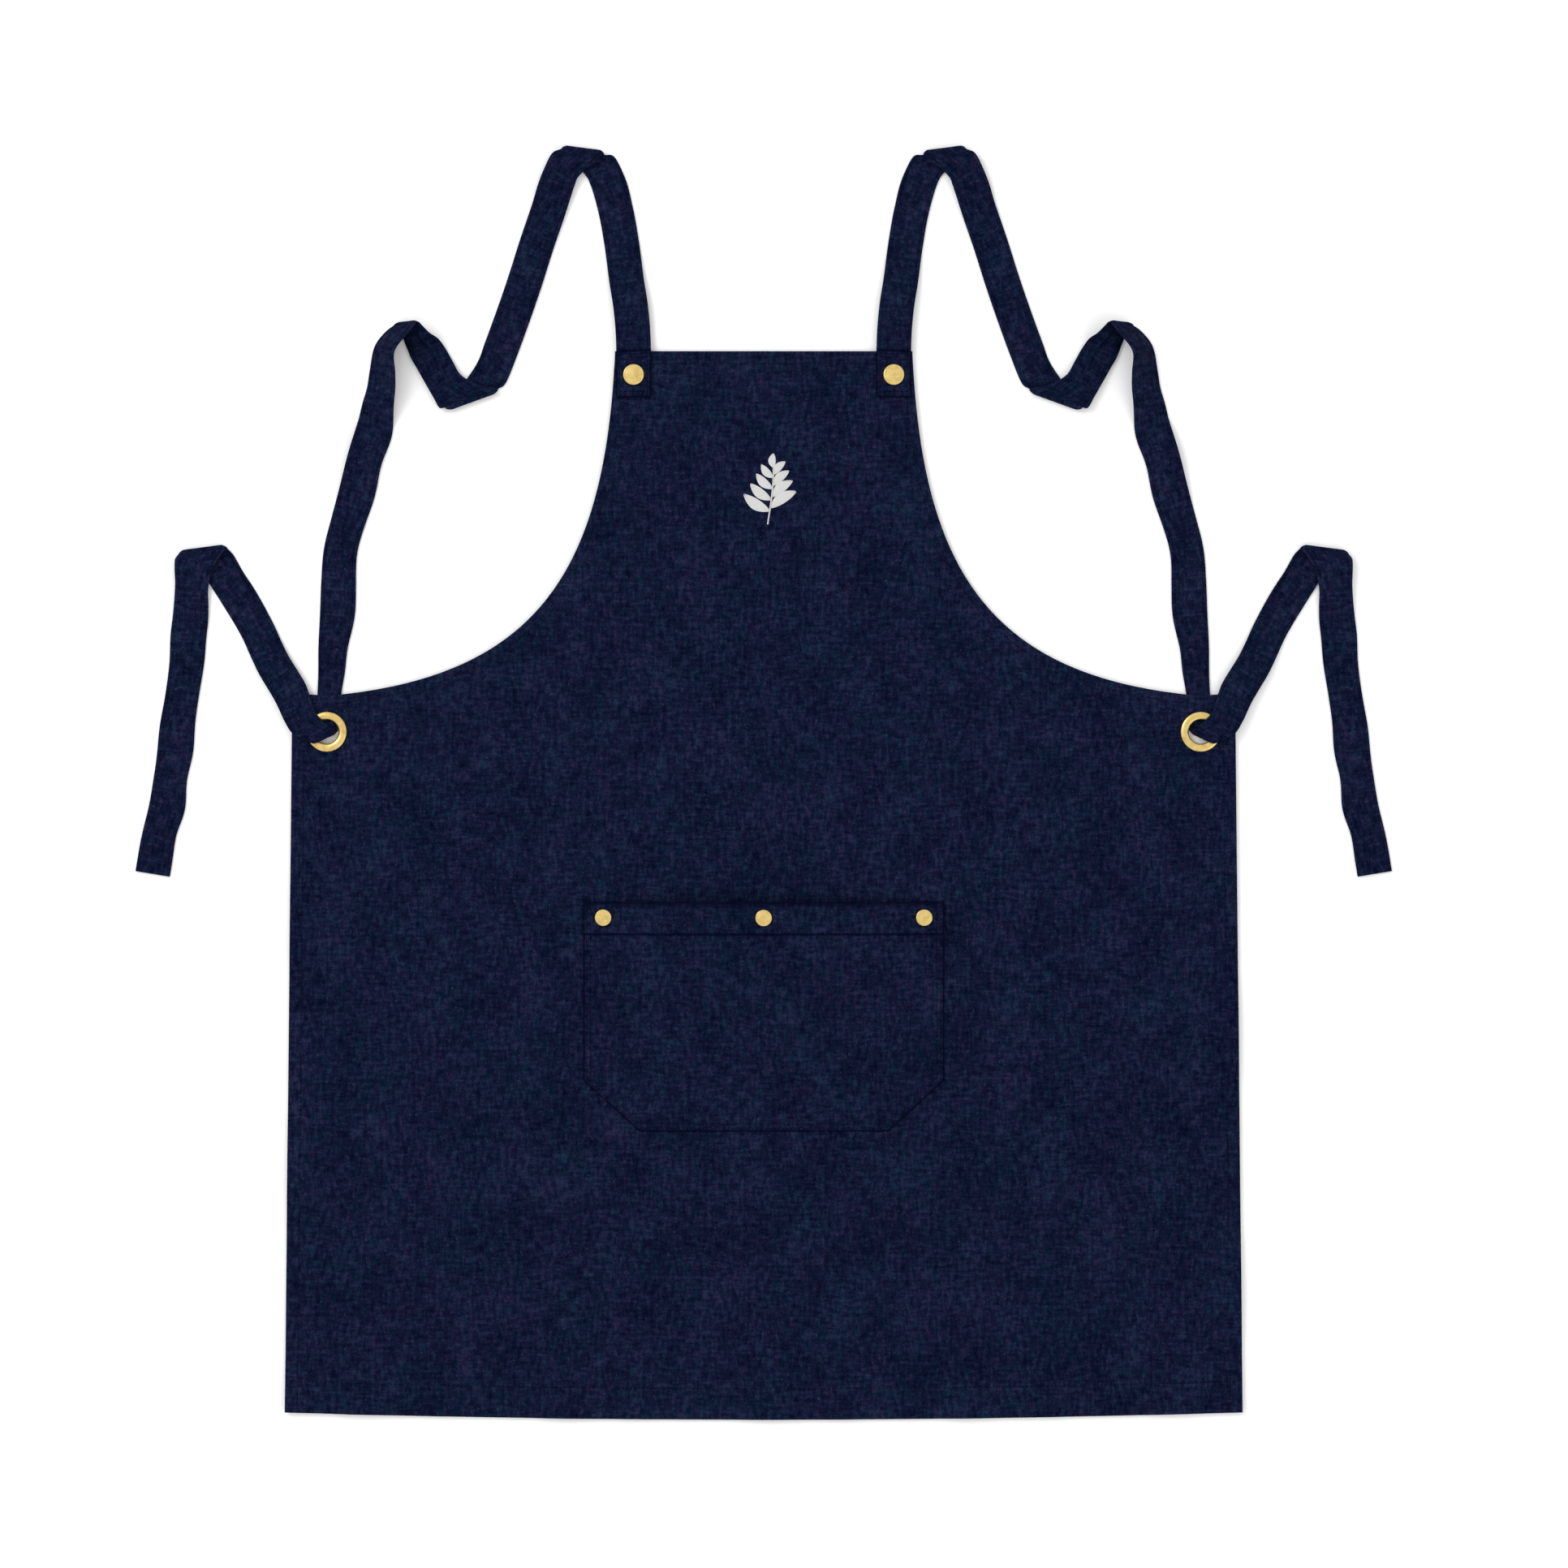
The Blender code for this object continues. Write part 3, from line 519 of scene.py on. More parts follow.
def edge_distances(flat):
    """Distance to each kind of edge."""
    left = to_left(flat)
    return {"bib": distance(flat, BIB), "armhole": distance(left, resample(ARMHOLE, 4 * MM)),
            "side": distance(left, SIDE), "bottom": distance(flat, HEM)}


def nearest_edge(away):
    return np.min(list(away.values()), axis=0)


def looseness(flat, away):
    """0 where the cloth is held flat by hardware, seams or the pocket, 1 where it is free."""
    free = smoothstep(nearest_edge(away), 13 * MM, 50 * MM)
    low, high = np.array(POCKET_LOW)[:2], np.array(POCKET_HIGH)[:2]
    off_pocket = np.maximum(np.maximum(low - flat, flat - high), 0)
    free *= smoothstep(np.linalg.norm(off_pocket, axis=1), 3 * MM, 45 * MM)
    left = to_left(flat)
    for spot, reach in ((STUD, 20 * MM), (EYELET, 40 * MM)):
        free *= smoothstep(np.linalg.norm(left - np.array(spot), axis=1), reach, 2.4 * reach)
    return free * smoothstep(np.linalg.norm(flat - np.array(EMBLEM), axis=1), 32 * MM, 60 * MM)


def swell(flat):
    """A slow undulation from -1 to 1."""
    total = np.zeros(len(flat))
    for pace, bearing, phase in WAVES:
        total += np.sin(pace * (flat[:, 0] * math.cos(bearing) + flat[:, 1] * math.sin(bearing)) + phase)
    return np.clip(total / 3.6, -1, 1)


def hem_lift(flat, away):
    """How far soft ripples raise the bottom hem and the sides off the table."""
    ripple = np.sin(flat[:, 0] * 41 + 0.6) + 0.6 * np.sin(flat[:, 0] * 83 + 2.1)
    lift = 1.5 * MM * np.clip(ripple, 0, 2) * np.exp(-away["bottom"] / (55 * MM))
    low_side = smoothstep(BIB_Y - ARMHOLE_DEPTH - 90 * MM - flat[:, 1], 0, 120 * MM)
    wave = np.clip(np.sin(flat[:, 1] * 33 + np.sign(flat[:, 0]) * 1.4), 0, 1)
    return lift + 1.6 * MM * wave * low_side * np.exp(-away["side"] / (40 * MM))


def stitch_dents(flat, away):
    """The groove and the puckers along each row of stitches."""
    along = flat[:, 1] - np.abs(flat[:, 0])
    pucker = puckers(along, 8.3 * MM, 1.9, 61)
    dent = np.zeros(len(flat))
    for edge, row in STITCH_ROWS.items():
        off = away[edge] - row
        dent += 0.16 * MM * pucker * bell(off, 4.5 * MM) - 0.3 * MM * bell(off, 0.75 * MM)
    return dent


def edge_round(depth, reach):
    """1 at a cloth's edge, falling to 0 over a quarter circle at reach from it."""
    return 1 - np.sqrt(np.clip(1 - (1 - np.clip(depth / reach, 0, 1)) ** 2, 0, 1))


def panel_heights(flat):
    """Heights of the panel's front and of its back with the hems' folds, and its wear."""
    away = edge_distances(flat)
    nearest = nearest_edge(away)
    hole = np.linalg.norm(to_left(flat) - np.array(EYELET), axis=1)
    lift = hem_lift(flat, away)
    free = looseness(flat, away)
    front = PANEL_TOP + lift + free * (-0.9 + 1.5 * swell(flat)) * MM + stitch_dents(flat, away)
    back = front - CLOTH
    for edge, width in HEMS.items():
        hemmed = 1 - smoothstep(away[edge], width, width + 0.8 * MM)
        back = back * (1 - hemmed) + (0.08 * MM + lift) * hemmed
    rounding = (front - back) * edge_round(nearest, 1.1 * MM)
    front = front - 0.42 * rounding
    back = back + 0.34 * rounding
    wear_and_shade = 0.75 * bell(nearest, 1.3 * MM) + 0.35 * np.exp(-(hole / (12 * MM)) ** 4)
    for edge, row in STITCH_ROWS.items():
        wear_and_shade += 0.22 * bell(away[edge] - row, 3 * MM)
    return front, back, np.clip(wear_and_shade, 0, 1)


def offset_rows(line, offsets, step):
    """Points beside a polyline, at several distances to its left."""
    spots = resample(line, step)
    way = unit(np.gradient(spots, axis=0))
    inward = np.column_stack([-way[:, 1], way[:, 0]])
    return [spots + inward * offset for offset in offsets]


BORDER_STEP = 3 * MM
EDGE_ROWS = [0.4 * MM, 1.1 * MM, 2.6 * MM]  # rows of points in from every edge
SEAM_ROWS = [-2.4 * MM, -0.8 * MM, 0, 0.8 * MM, 2.6 * MM]  # and on both sides of its stitches
NET_PITCH = 7 * MM  # between the points that fill the rest
HOLE_RINGS = (0, 1.5 * MM, 4 * MM)
SLIVER = 0.05 * MM  # triangles that stay this close to the border are dropped
MERGE = 0.12 * MM


def edge_points():
    """Rows of points along every edge of the panel."""
    points = []
    for edge, line in EDGES.items():
        rows = EDGE_ROWS + [STITCH_ROWS[edge] + beside for beside in SEAM_ROWS]
        if edge in ("side", "bottom"):
            rows.append(HEMS[edge] + 0.9 * MM)
        for spots in offset_rows(line, rows, 2.8 * MM):
            points += [spots, spots * (-1, 1)] if edge in TWICE else [spots]
    points = np.concatenate(points)
    return points[(distance(points, OUTLINE) > 0.3 * MM) & inside(points, OUTLINE)]


def filling_points():
    """A staggered grid that keeps clear of the rows of points."""
    grid = np.array([(x + (j % 2) * NET_PITCH / 2, y)
                     for j, y in enumerate(np.arange(HEM_Y, BIB_Y, NET_PITCH * 0.87))
                     for x in np.arange(-HEM_HALF, HEM_HALF, NET_PITCH)])
    away = edge_distances(grid)
    keep = nearest_edge(away) > 5 * MM
    for edge, row in STITCH_ROWS.items():
        keep &= np.abs(away[edge] - row) > 4.5 * MM
    return grid[keep & inside(grid, OUTLINE)]


def panel_net():
    """A flat triangulation of the panel, fine along its edges and stitch rows."""
    border = resample(OUTLINE, BORDER_STEP)
    count = len(border)
    edges = [(k, (k + 1) % count) for k in range(count)]
    loose = np.concatenate([edge_points(), filling_points()])
    centres = [np.array(EYELET) * (side, 1) for side in (1, -1)]
    rings = []
    turns = np.linspace(0, math.tau, HOLE_PARTS, endpoint=False)
    circle = np.column_stack([np.cos(turns), np.sin(turns)])
    for centre in centres:
        first = count + sum(len(ring) for ring in rings)
        edges += [(first + k, first + (k + 1) % HOLE_PARTS) for k in range(HOLE_PARTS)]
        rings += [centre + (EYELET_CUT + beyond) * circle for beyond in HOLE_RINGS]
        loose = loose[np.linalg.norm(loose - centre, axis=1) > EYELET_CUT + 5 * MM]
    spots = np.concatenate([border, *rings, loose])
    made = delaunay_2d_cdt([Vector(p) for p in spots], edges, [], 0, MERGE)
    flat = np.array([tuple(p) for p in made[0]])
    faces = np.array([tuple(f) for f in made[2]])
    heart = flat[faces].mean(axis=1)
    keep = inside(heart, border) & (distance(heart, border) > SLIVER)
    for centre in centres:
        keep &= np.linalg.norm(heart - centre, axis=1) > EYELET_CUT * 0.99
    faces = faces[keep]
    used = np.unique(faces)
    renumber = np.zeros(len(flat), int)
    renumber[used] = np.arange(len(used))
    return flat[used], [tuple(f) for f in renumber[faces]]


def inside(points, ring):
    """Whether each point is inside a closed line, by counting crossings to its right."""
    ring = np.asarray(ring)
    within = np.zeros(len(points), bool)
    for a, b in zip(ring, np.roll(ring, -1, axis=0)):
        if a[1] == b[1]:
            continue
        between = (points[:, 1] > min(a[1], b[1])) & (points[:, 1] <= max(a[1], b[1]))
        cross = a[0] + (points[:, 1] - a[1]) / (b[1] - a[1]) * (b[0] - a[0])
        within ^= between & (points[:, 0] < cross)
    return within


def make_panel():
    """The body panel with its hems, and the stitches along its edges."""
    flat, faces = panel_net()
    front, back, wear_and_shade = panel_heights(flat)
    panel = close_sheet("panel_cloth", flat, faces, front, back, denim, wear_and_shade)
    reach = {"armhole": 1, "side": 1, "bottom": HEM_HALF - 3 * MM, "bib": BIB_HALF - 3 * MM}
    runs = []
    for edge, line in EDGES.items():
        spots = offset_rows(line, [STITCH_ROWS[edge]], 2 * MM)[0]
        spots = spots[inside(spots, OUTLINE) & (np.abs(spots[:, 0]) < reach[edge])]
        for side in (1, -1) if edge in TWICE else (1,):
            runs.append(level_run(spots * (side, 1), panel_heights(spots)[0]))
    stitches = stitching("panel_stitches", runs)
    for piece in (panel, stitches):
        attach(piece, "apron_cloth")
    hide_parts("body_panel")


def make_facing(side, flip):
    """The tape that finishes an armhole on the panel's back."""
    lowest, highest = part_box(f"{side}_armhole_facing")
    thick = highest.z - lowest.z
    insets = [0.8 * MM, 1.1 * MM, 1.8 * MM, 4 * MM, 6 * MM]
    insets += [FACING - 1.6 * MM, FACING - 0.9 * MM, FACING - 0.6 * MM]
    rows = [row[4:-4] for row in offset_rows(ARMHOLE, insets, 3 * MM)]
    flat = np.concatenate(rows)
    across = np.concatenate([np.full(len(row), inset) for row, inset in zip(rows, insets)])
    soft = np.maximum(1 - smoothstep(across, *insets[0:3:2]), smoothstep(across, *insets[-3::2]))
    ripple = 0.12 * MM * np.sin((flat[:, 1] - flat[:, 0]) * math.tau / (9.1 * MM))
    bottom = lowest.z + 0.25 * thick * soft
    top = highest.z - 0.2 * thick * soft + np.minimum(ripple, 0)
    faces = rows_to_faces(len(insets), len(rows[0]))
    flat = flipped(flat, flip)
    tape = close_sheet(f"{side}_facing_tape", flat, faces, top, bottom, denim_tape, 0.3 * soft)
    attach(tape, "apron_cloth")
    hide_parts(f"{side}_armhole_facing")


# Straps

def spline(keys, step):
    """Rows every step or so along a smooth curve through keys of (middle, middle-to-edge vector)."""
    keys = np.array(keys, float)
    at = travelled(keys[:, :3])
    slopes = np.gradient(keys, at, axis=0)
    rows = [keys[0]]
    for k in range(len(keys) - 1):
        span = at[k + 1] - at[k]
        count = max(1, round(span / step))
        for j in range(1, count + 1):
            t = j / count
            rows.append((2 * t ** 3 - 3 * t ** 2 + 1) * keys[k] + (t ** 3 - 2 * t ** 2 + t) * span * slopes[k]
                        + (3 * t ** 2 - 2 * t ** 3) * keys[k + 1] + (t ** 3 - t ** 2) * span * slopes[k + 1])
    return rows


def placed(points, anchor):
    """Route points, in mm from an anchor, as (place, height, half width, tilt)."""
    rows = []
    for x, y, low, *rest in points:
        half, tilt = rest + [HALF, 0][len(rest):]
        rows.append((anchor + Vector((x, y)) * MM, low * MM, half * MM, math.radians(tilt)))
    return rows


def slant(crease):
    angle, half, tilt = math.radians(crease[2]), crease[3] * MM, math.radians(crease[4])
    return half * Vector((math.cos(angle) * math.cos(tilt), math.sin(angle) * math.cos(tilt), math.sin(tilt)))


def rise(edge, way):
    """Height of the strap's middle above its lowest edge."""
    return abs(edge.z) + abs(edge.cross(way).normalized().z) * STRAP_THICKNESS / 2


def leg_keys(points, before=None, after=None):
    """Spline keys for a stretch of strap. The creases before and after it, if any, are (place, slant)."""
    places = [p[0] for p in points]
    ends = [before[0]] if before else []
    line = ends + places + ([after[0]] if after else [])
    keys = []
    for k, (place, low, half, tilt) in enumerate(points):
        back = line[max(k + len(ends) - 1, 0)]
        ahead = line[min(k + len(ends) + 1, len(line) - 1)]
        way = (ahead - back).normalized()
        across = Vector((way.y, -way.x)) * (1 if way.y > 0 else -1)
        edge = Vector((*(across * math.cos(tilt)), math.sin(tilt))) * half
        for crease in filter(None, (before, after)):
            near = max(0, 1 - (place - crease[0]).length / CREASE_REACH)
            edge = edge.lerp(crease[1], near * near * (3 - 2 * near))
        keys.append((*place, low + rise(edge, Vector((*way, 0))), *edge))
    return keys


def fold(crease, anchor, low, way_up, taper=0.16, count=16):
    """Rows round a soft fold, narrowed at its tip to round its corners. The strap arrives at height low,
    turns over upwards and leaves above."""
    place = anchor + Vector(crease[:2]) * MM
    edge = slant(crease)
    way = Vector((0, 1 if way_up else -1, 0))
    way = (way - way.project(edge)).normalized()
    normal = edge.cross(way).normalized()
    normal = -normal if normal.z < 0 else normal
    start = Vector((*place, low + rise(edge, way))) - way * FOLD_RADIUS
    turns = (math.pi * k / count for k in range(count + 1))
    return [np.array((*(start + FOLD_RADIUS * (way * math.sin(a) + normal * (1 - math.cos(a)))),
                      *(edge * (1 - taper * math.sin(a) ** 2))))
            for a in turns]


def joined(legs, folds, step):
    """Rows along legs of strap with a fold between each two."""
    rows = []
    for before, leg, after in zip([None] + folds, legs, folds + [None]):
        arrival = [tuple(before[-1])] if before else []
        departure = [tuple(after[0])] if after else []
        part = spline(arrival + leg + departure, step)
        rows += part[1:] if before else part
        rows += after[1:] if after else []
    return rows


def denser(rows, count, parts):
    """The rows with each gap among the first count split into parts."""
    fine = []
    for before, after in zip(rows[:count], rows[1:count + 1]):
        fine += [np.asarray(before) + (np.asarray(after) - before) * k / parts for k in range(parts)]
    return fine + list(rows[count:])


SEAM_SHARE = 0.8  # where a strap's stitches run, as a share of its half width
# Across half a strap: share of the half width, and of the half thickness
PROFILE = [(-1, 0.25), (-0.985, 0.66), (-0.95, 0.9), (-0.88, 1), (-SEAM_SHARE - 0.035, 0.97),
           (-SEAM_SHARE, 0.72), (-SEAM_SHARE + 0.035, 0.97), (-0.62, 1), (-0.3, 0.97)]
PROFILE += [(0, 0.96)] + [(-share, thick) for share, thick in reversed(PROFILE)]
STRAP_STEP = 3.2 * MM


def ribbon(name, rows, flip, sewn=0.0, sway=0.0, straight=0.0):
    """A strap of folded denim with rounded edges along rows, and the lines that its stitches follow. Its
    first sewn metres get painted shade along their edges, across the strap's end and where it crosses the
    bib's edge, and sway makes its edges wander past the first straight metres."""
    rows = np.array(rows)
    middle, edge = rows[:, :3].copy(), rows[:, 3:]
    way = unit(np.gradient(middle, axis=0))
    normal = unit(np.cross(edge, way))
    half = STRAP_THICKNESS / 2
    middle[:, 2] = np.maximum(middle[:, 2], np.abs(edge[:, 2]) + np.abs(normal[:, 2]) * half)
    along = travelled(middle)
    free = smoothstep(along, straight, straight + 40 * MM) * smoothstep(along[-1] - along, 0, 45 * MM)
    wander = (sway * free)[:, None] * unit(edge)
    wave = np.sin(along / (10 * MM) + 1.3 * np.sin(along / (31 * MM)))[:, None]
    middle = middle + wander * wave
    edge = edge + wander * wave * 0.7
    width = np.linalg.norm(edge, axis=1)
    pucker = 0.05 * puckers(along, 7.7 * MM, 1.7, 90)
    columns = len(PROFILE)
    points, cloth, wear_and_shade = [], [], []
    for k in range(len(rows)):
        for facing in (1, -1):
            for share, thick in PROFILE[::facing]:
                near_seam = math.exp(-((abs(share) - SEAM_SHARE) / 0.14) ** 2)
                height = half * (thick + pucker[k] * near_seam * 2)
                points.append(middle[k] + edge[k] * share + normal[k] * facing * height)
                cloth.append((share * width[k] + facing * 60 * MM, along[k]))
                # Real wear lightens the outer edges; painted shade darkens the sewn tab's edges, its end and
                # the bib's edge.
                edge_wear = max(0, (abs(share) - 0.93) / 0.07)
                tab_shade_line = along[k] < 1.2 * MM or abs(along[k] - sewn) < 0.9 * MM
                seam = along[k] < sewn + 1 * MM and (tab_shade_line or abs(share) > 0.93)
                wear_and_shade.append(-1 if seam else 0.5 * edge_wear)
    ring = 2 * columns
    faces = rows_to_faces(len(rows), ring, closed=True)
    for first, order in ((0, -1), ((len(rows) - 1) * ring, 1)):
        for j in range(columns - 1):
            cap = (first + j, first + j + 1, first + ring - 2 - j, first + ring - 1 - j)
            faces.append(cap[::order])
    strap = build(name, flipped(points, flip), facing_out(faces, flip), denim, cloth, wear_and_shade)
    lines = []
    for share in (-SEAM_SHARE, SEAM_SHARE):
        for facing in (1, -1):
            seam = middle + edge * share + normal * facing * half * 0.74
            lines.append((seam[1:-1], normal[1:-1] * facing))
    return strap, lines, along[-1]


def add_strap(names, rows, flip, bodies, bend, nodes, held, rests_on, more_lines=(), **style):
    """A strap and its stitches, with their transforms baked into their meshes, and the CAD nodes they stand
    for hidden.
    """
    strap, lines, length = ribbon(names[0], rows, flip, **style)
    stitches = stitching(names[1], lines + list(more_lines), flip=flip)
    for piece in (strap, stitches):
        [tuple(point) for point in flipped(bend, flip)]
        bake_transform(piece)
    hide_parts(*nodes)


BEND = 18 * MM  # how far out from the hinge points the loop's second bend point lies
TIE_BEND = (13 * MM, 40 * MM)  # distances from the eyelet's middle to the tie's two bend points


def make_loop(side, flip):
    """Tab, shoulder loop and the run under the side corner, in one strap."""
    creases = [(TAB + Vector(c[:2]) * MM, slant(c)) for c in (CREASE_1, CREASE_2, CREASE_3)]
    sewn_middle = SEWN * MM + STRAP_THICKNESS / 2
    tab_start = [(TAB.x, y, sewn_middle, HALF * MM, 0, 0) for y in (TAB_END, TAB_END + 17 * MM)]
    legs = [tab_start + leg_keys(placed(TAB_LEG + LEG_1, TAB), None, creases[0]),
            leg_keys(placed(LEG_2, TAB), creases[0], creases[1]),
            leg_keys(placed(LEG_3, TAB), creases[1], creases[2]),
            leg_keys(placed(LEG_4_TOP, TAB) + placed(LEG_4_FOOT, EYELET), creases[2], None)]
    folds = [fold(CREASE_1, TAB, 0, True), fold(CREASE_2, TAB, 0, False),
             fold(CREASE_3, TAB, 0.4 * MM, True, 0.3)]
    rows = denser(joined(legs, folds, STRAP_STEP), 13, 4)
    line = HINGE_TOP - HINGE_FOOT
    out = Vector((-line.y, line.x)).normalized()
    bend = [(*HINGE_TOP, sewn_middle), (*(HINGE_TOP + out * BEND), sewn_middle)]
    add_strap((f"{side}_strap", f"{side}_strap_stitches"), rows, flip, ("apron_cloth", f"{side}_loop"), bend,
              (f"{side}_strap_tab", f"{side}_shoulder_strap"), "laid", ["panel_cloth"], tab_box(),
              sewn=TAB.y - TAB_END, sway=0.6 * MM, straight=480 * MM)


def tab_box():
    """The stitched box that holds the strap's tab to the bib."""
    top = SEWN * MM + 1.85 * MM * 0.86
    low, high = TAB_END + 2.2 * MM, TAB.y - 2.2 * MM
    reach = SEAM_SHARE * HALF * MM
    return [level_run(resample([(TAB.x - reach, y), (TAB.x + reach, y)], 2 * MM), top)
            for y in (low, low + 2 * MM, high)]


def make_tie(side, flip):
    """The strap through the eyelet and on to its crease, and the end that lies folded back over it."""
    crease = (EYELET + Vector(TIE_CREASE[:2]) * MM, slant(TIE_CREASE))
    turn = fold(TIE_CREASE, EYELET, 0, True)
    through = [(*(EYELET + Vector(key[:2]) * MM), *(v * MM for v in key[2:])) for key in THROUGH]
    leg = leg_keys(placed(TIE_LEG, EYELET), None, crease) + [tuple(turn[0])]
    passing = spline(through, 1.3 * MM)
    rows = passing[:-1] + spline([tuple(passing[-1])] + leg, STRAP_STEP)
    bend = [(*(EYELET + SWIVEL_WAY * reach), 0) for reach in TIE_BEND]
    add_strap((f"{side}_tie_strap", f"{side}_tie_stitches"), rows, flip, ("apron_cloth", f"{side}_tie_leg"),
              bend, (f"{side}_strap_through_eyelet", f"{side}_tie"), "gathered", ["panel_cloth"],
              sewn=-60 * MM, sway=0.3 * MM, straight=50 * MM)
    end_keys = [tuple(turn[-1])] + leg_keys(placed(END_LEG, EYELET), crease, None)
    rows = turn[:-1] + spline(end_keys, STRAP_STEP)
    bend = [turn[0][:3], turn[-1][:3] - (0, 2 * MM, 0)]
    add_strap((f"{side}_tie_end_strap", f"{side}_tie_end_stitches"), rows, flip,
              (f"{side}_tie_leg", f"{side}_tie_tail"), bend, (f"{side}_tie_end",), "folded",
              [f"{side}_tie_strap"], sway=0.7 * MM)


# Pocket

POCKET_CORNER = (42 * MM, 38 * MM)
POCKET_GAPE = 8 * MM
POCKET_HALF, POCKET_TOP = POCKET_HIGH.x, POCKET_HIGH.y
POCKET_DEEP = POCKET_HIGH.y - POCKET_LOW.y
ON_PANEL = POCKET_LOW.z
POCKET_SEAMS = (2.4 * MM, 5.6 * MM)  # double stitching, in from the pocket's edge
BAND_STITCHES = BAND_LOW.y + 1.5 * MM
POCKET_STEP = 4 * MM
POCKET_RIM = [0.35 * MM, 0.9 * MM]
POCKET_FRAME = 9 * MM  # the net's columns keep their distance from the side this far in


def gape(flat):
    """How far the pocket stands off the panel: nothing along its sewn edges, most at the mouth's middle."""
    across = np.clip(np.abs(flat[:, 0]) / POCKET_HALF, 0, 1)
    up = np.clip((flat[:, 1] - POCKET_LOW.y) / POCKET_DEEP, 0, 1)
    return POCKET_GAPE * (1 - across ** 2) ** 2 * np.sin(math.pi / 2 * up)


def pocket_outline():
    """The pocket's sewn sides and bottom."""
    left = [(-POCKET_HALF, POCKET_TOP), (-POCKET_HALF, POCKET_LOW.y + POCKET_CORNER[1]),
            (POCKET_CORNER[0] - POCKET_HALF, POCKET_LOW.y)]
    return np.array(left + [(-x, y) for x, y in reversed(left)])


def spaced(low, high, marks):
    """Places from low to high, a step apart at most, with every mark among them."""
    stops = sorted({low, high, *(m for m in marks if low < m < high)})
    places = [low]
    for a, b in zip(stops, stops[1:]):
        count = max(1, round((b - a) / POCKET_STEP))
        places += [a + (b - a) * k / count for k in range(1, count + 1)]
    return np.array(places)


def pocket_net(bottom, top, rows_at=()):
    """Points and faces of a ply of the pocket between two heights on the apron."""
    marks = POCKET_RIM + [seam + shift for seam in POCKET_SEAMS for shift in (-0.8 * MM, 0, 0.8 * MM)]
    ys = spaced(bottom, top, [bottom + m for m in marks] + [top - m for m in POCKET_RIM] + [*rows_at])
    xs = spaced(-POCKET_HALF, POCKET_HALF, [side * (POCKET_HALF - m) for m in marks for side in (1, -1)])
    frame_x = POCKET_HALF - POCKET_FRAME
    flat = []
    for y in ys:
        cut_in = max(0, 1 - (y - POCKET_LOW.y) / POCKET_CORNER[1]) * POCKET_CORNER[0]
        shifted = np.where(np.abs(xs) > frame_x, xs - np.sign(xs) * cut_in, xs * (1 - cut_in / frame_x))
        flat += [(x, y) for x in shifted]
    return np.array(flat), rows_to_faces(len(ys), len(xs))


def sewn_row(flat, off, groove, pucker, reach):
    """The groove and the puckers along a row of stitches, at each point's distance off it."""
    along = flat[:, 0] + flat[:, 1]
    wave = puckers(along, 8.9 * MM, 1.6, 55)
    return pucker * wave * bell(off, reach) - groove * bell(off, 0.7 * MM)


def drape(flat):
    """Slow creases in the pocket, growing towards its mouth and fading at its seams."""
    inner = smoothstep(distance(flat, pocket_outline()), 4 * MM, 40 * MM)
    return 0.55 * MM * inner * swell(flat * (1.6, 1.1) + (0.31, 0.12))


def pocket_front(flat):
    """Heights of the pocket's front."""
    height = ON_PANEL + CLOTH + gape(flat) + drape(flat)
    sewn = distance(flat, pocket_outline())
    for row in POCKET_SEAMS:
        height += sewn_row(flat, sewn - row, 0.28 * MM, 0.12 * MM, 4 * MM)
    return height


def band_front(flat):
    """Heights of the front of the band along the pocket's mouth."""
    height = ON_PANEL + 2 * CLOTH + GAP + gape(flat) + drape(flat)
    height += sewn_row(flat, flat[:, 1] - BAND_STITCHES, 0.3 * MM, 0.14 * MM, 4.5 * MM)
    for row in POCKET_SEAMS:
        height += sewn_row(flat, POCKET_HALF - np.abs(flat[:, 0]) - row, 0.28 * MM, 0, 1)
    return height


def make_ply(name, net, front, depth, sewn):
    """A ply of the pocket from its front's heights and its distances to any edge and to a sewn edge, with
    painted shade along the sewn edge.
    """
    soft = edge_round(depth, 1 * MM)
    # Painted shade: a dark line within about a millimetre of the sewn edge, fading out by 1.7 mm.
    wear_and_shade = smoothstep(sewn, 0.9 * MM, 1.7 * MM) - 1
    top, bottom = front - 0.4 * CLOTH * soft, front - CLOTH + 0.3 * CLOTH * soft
    return close_sheet(name, *net, top, bottom, denim, wear_and_shade)


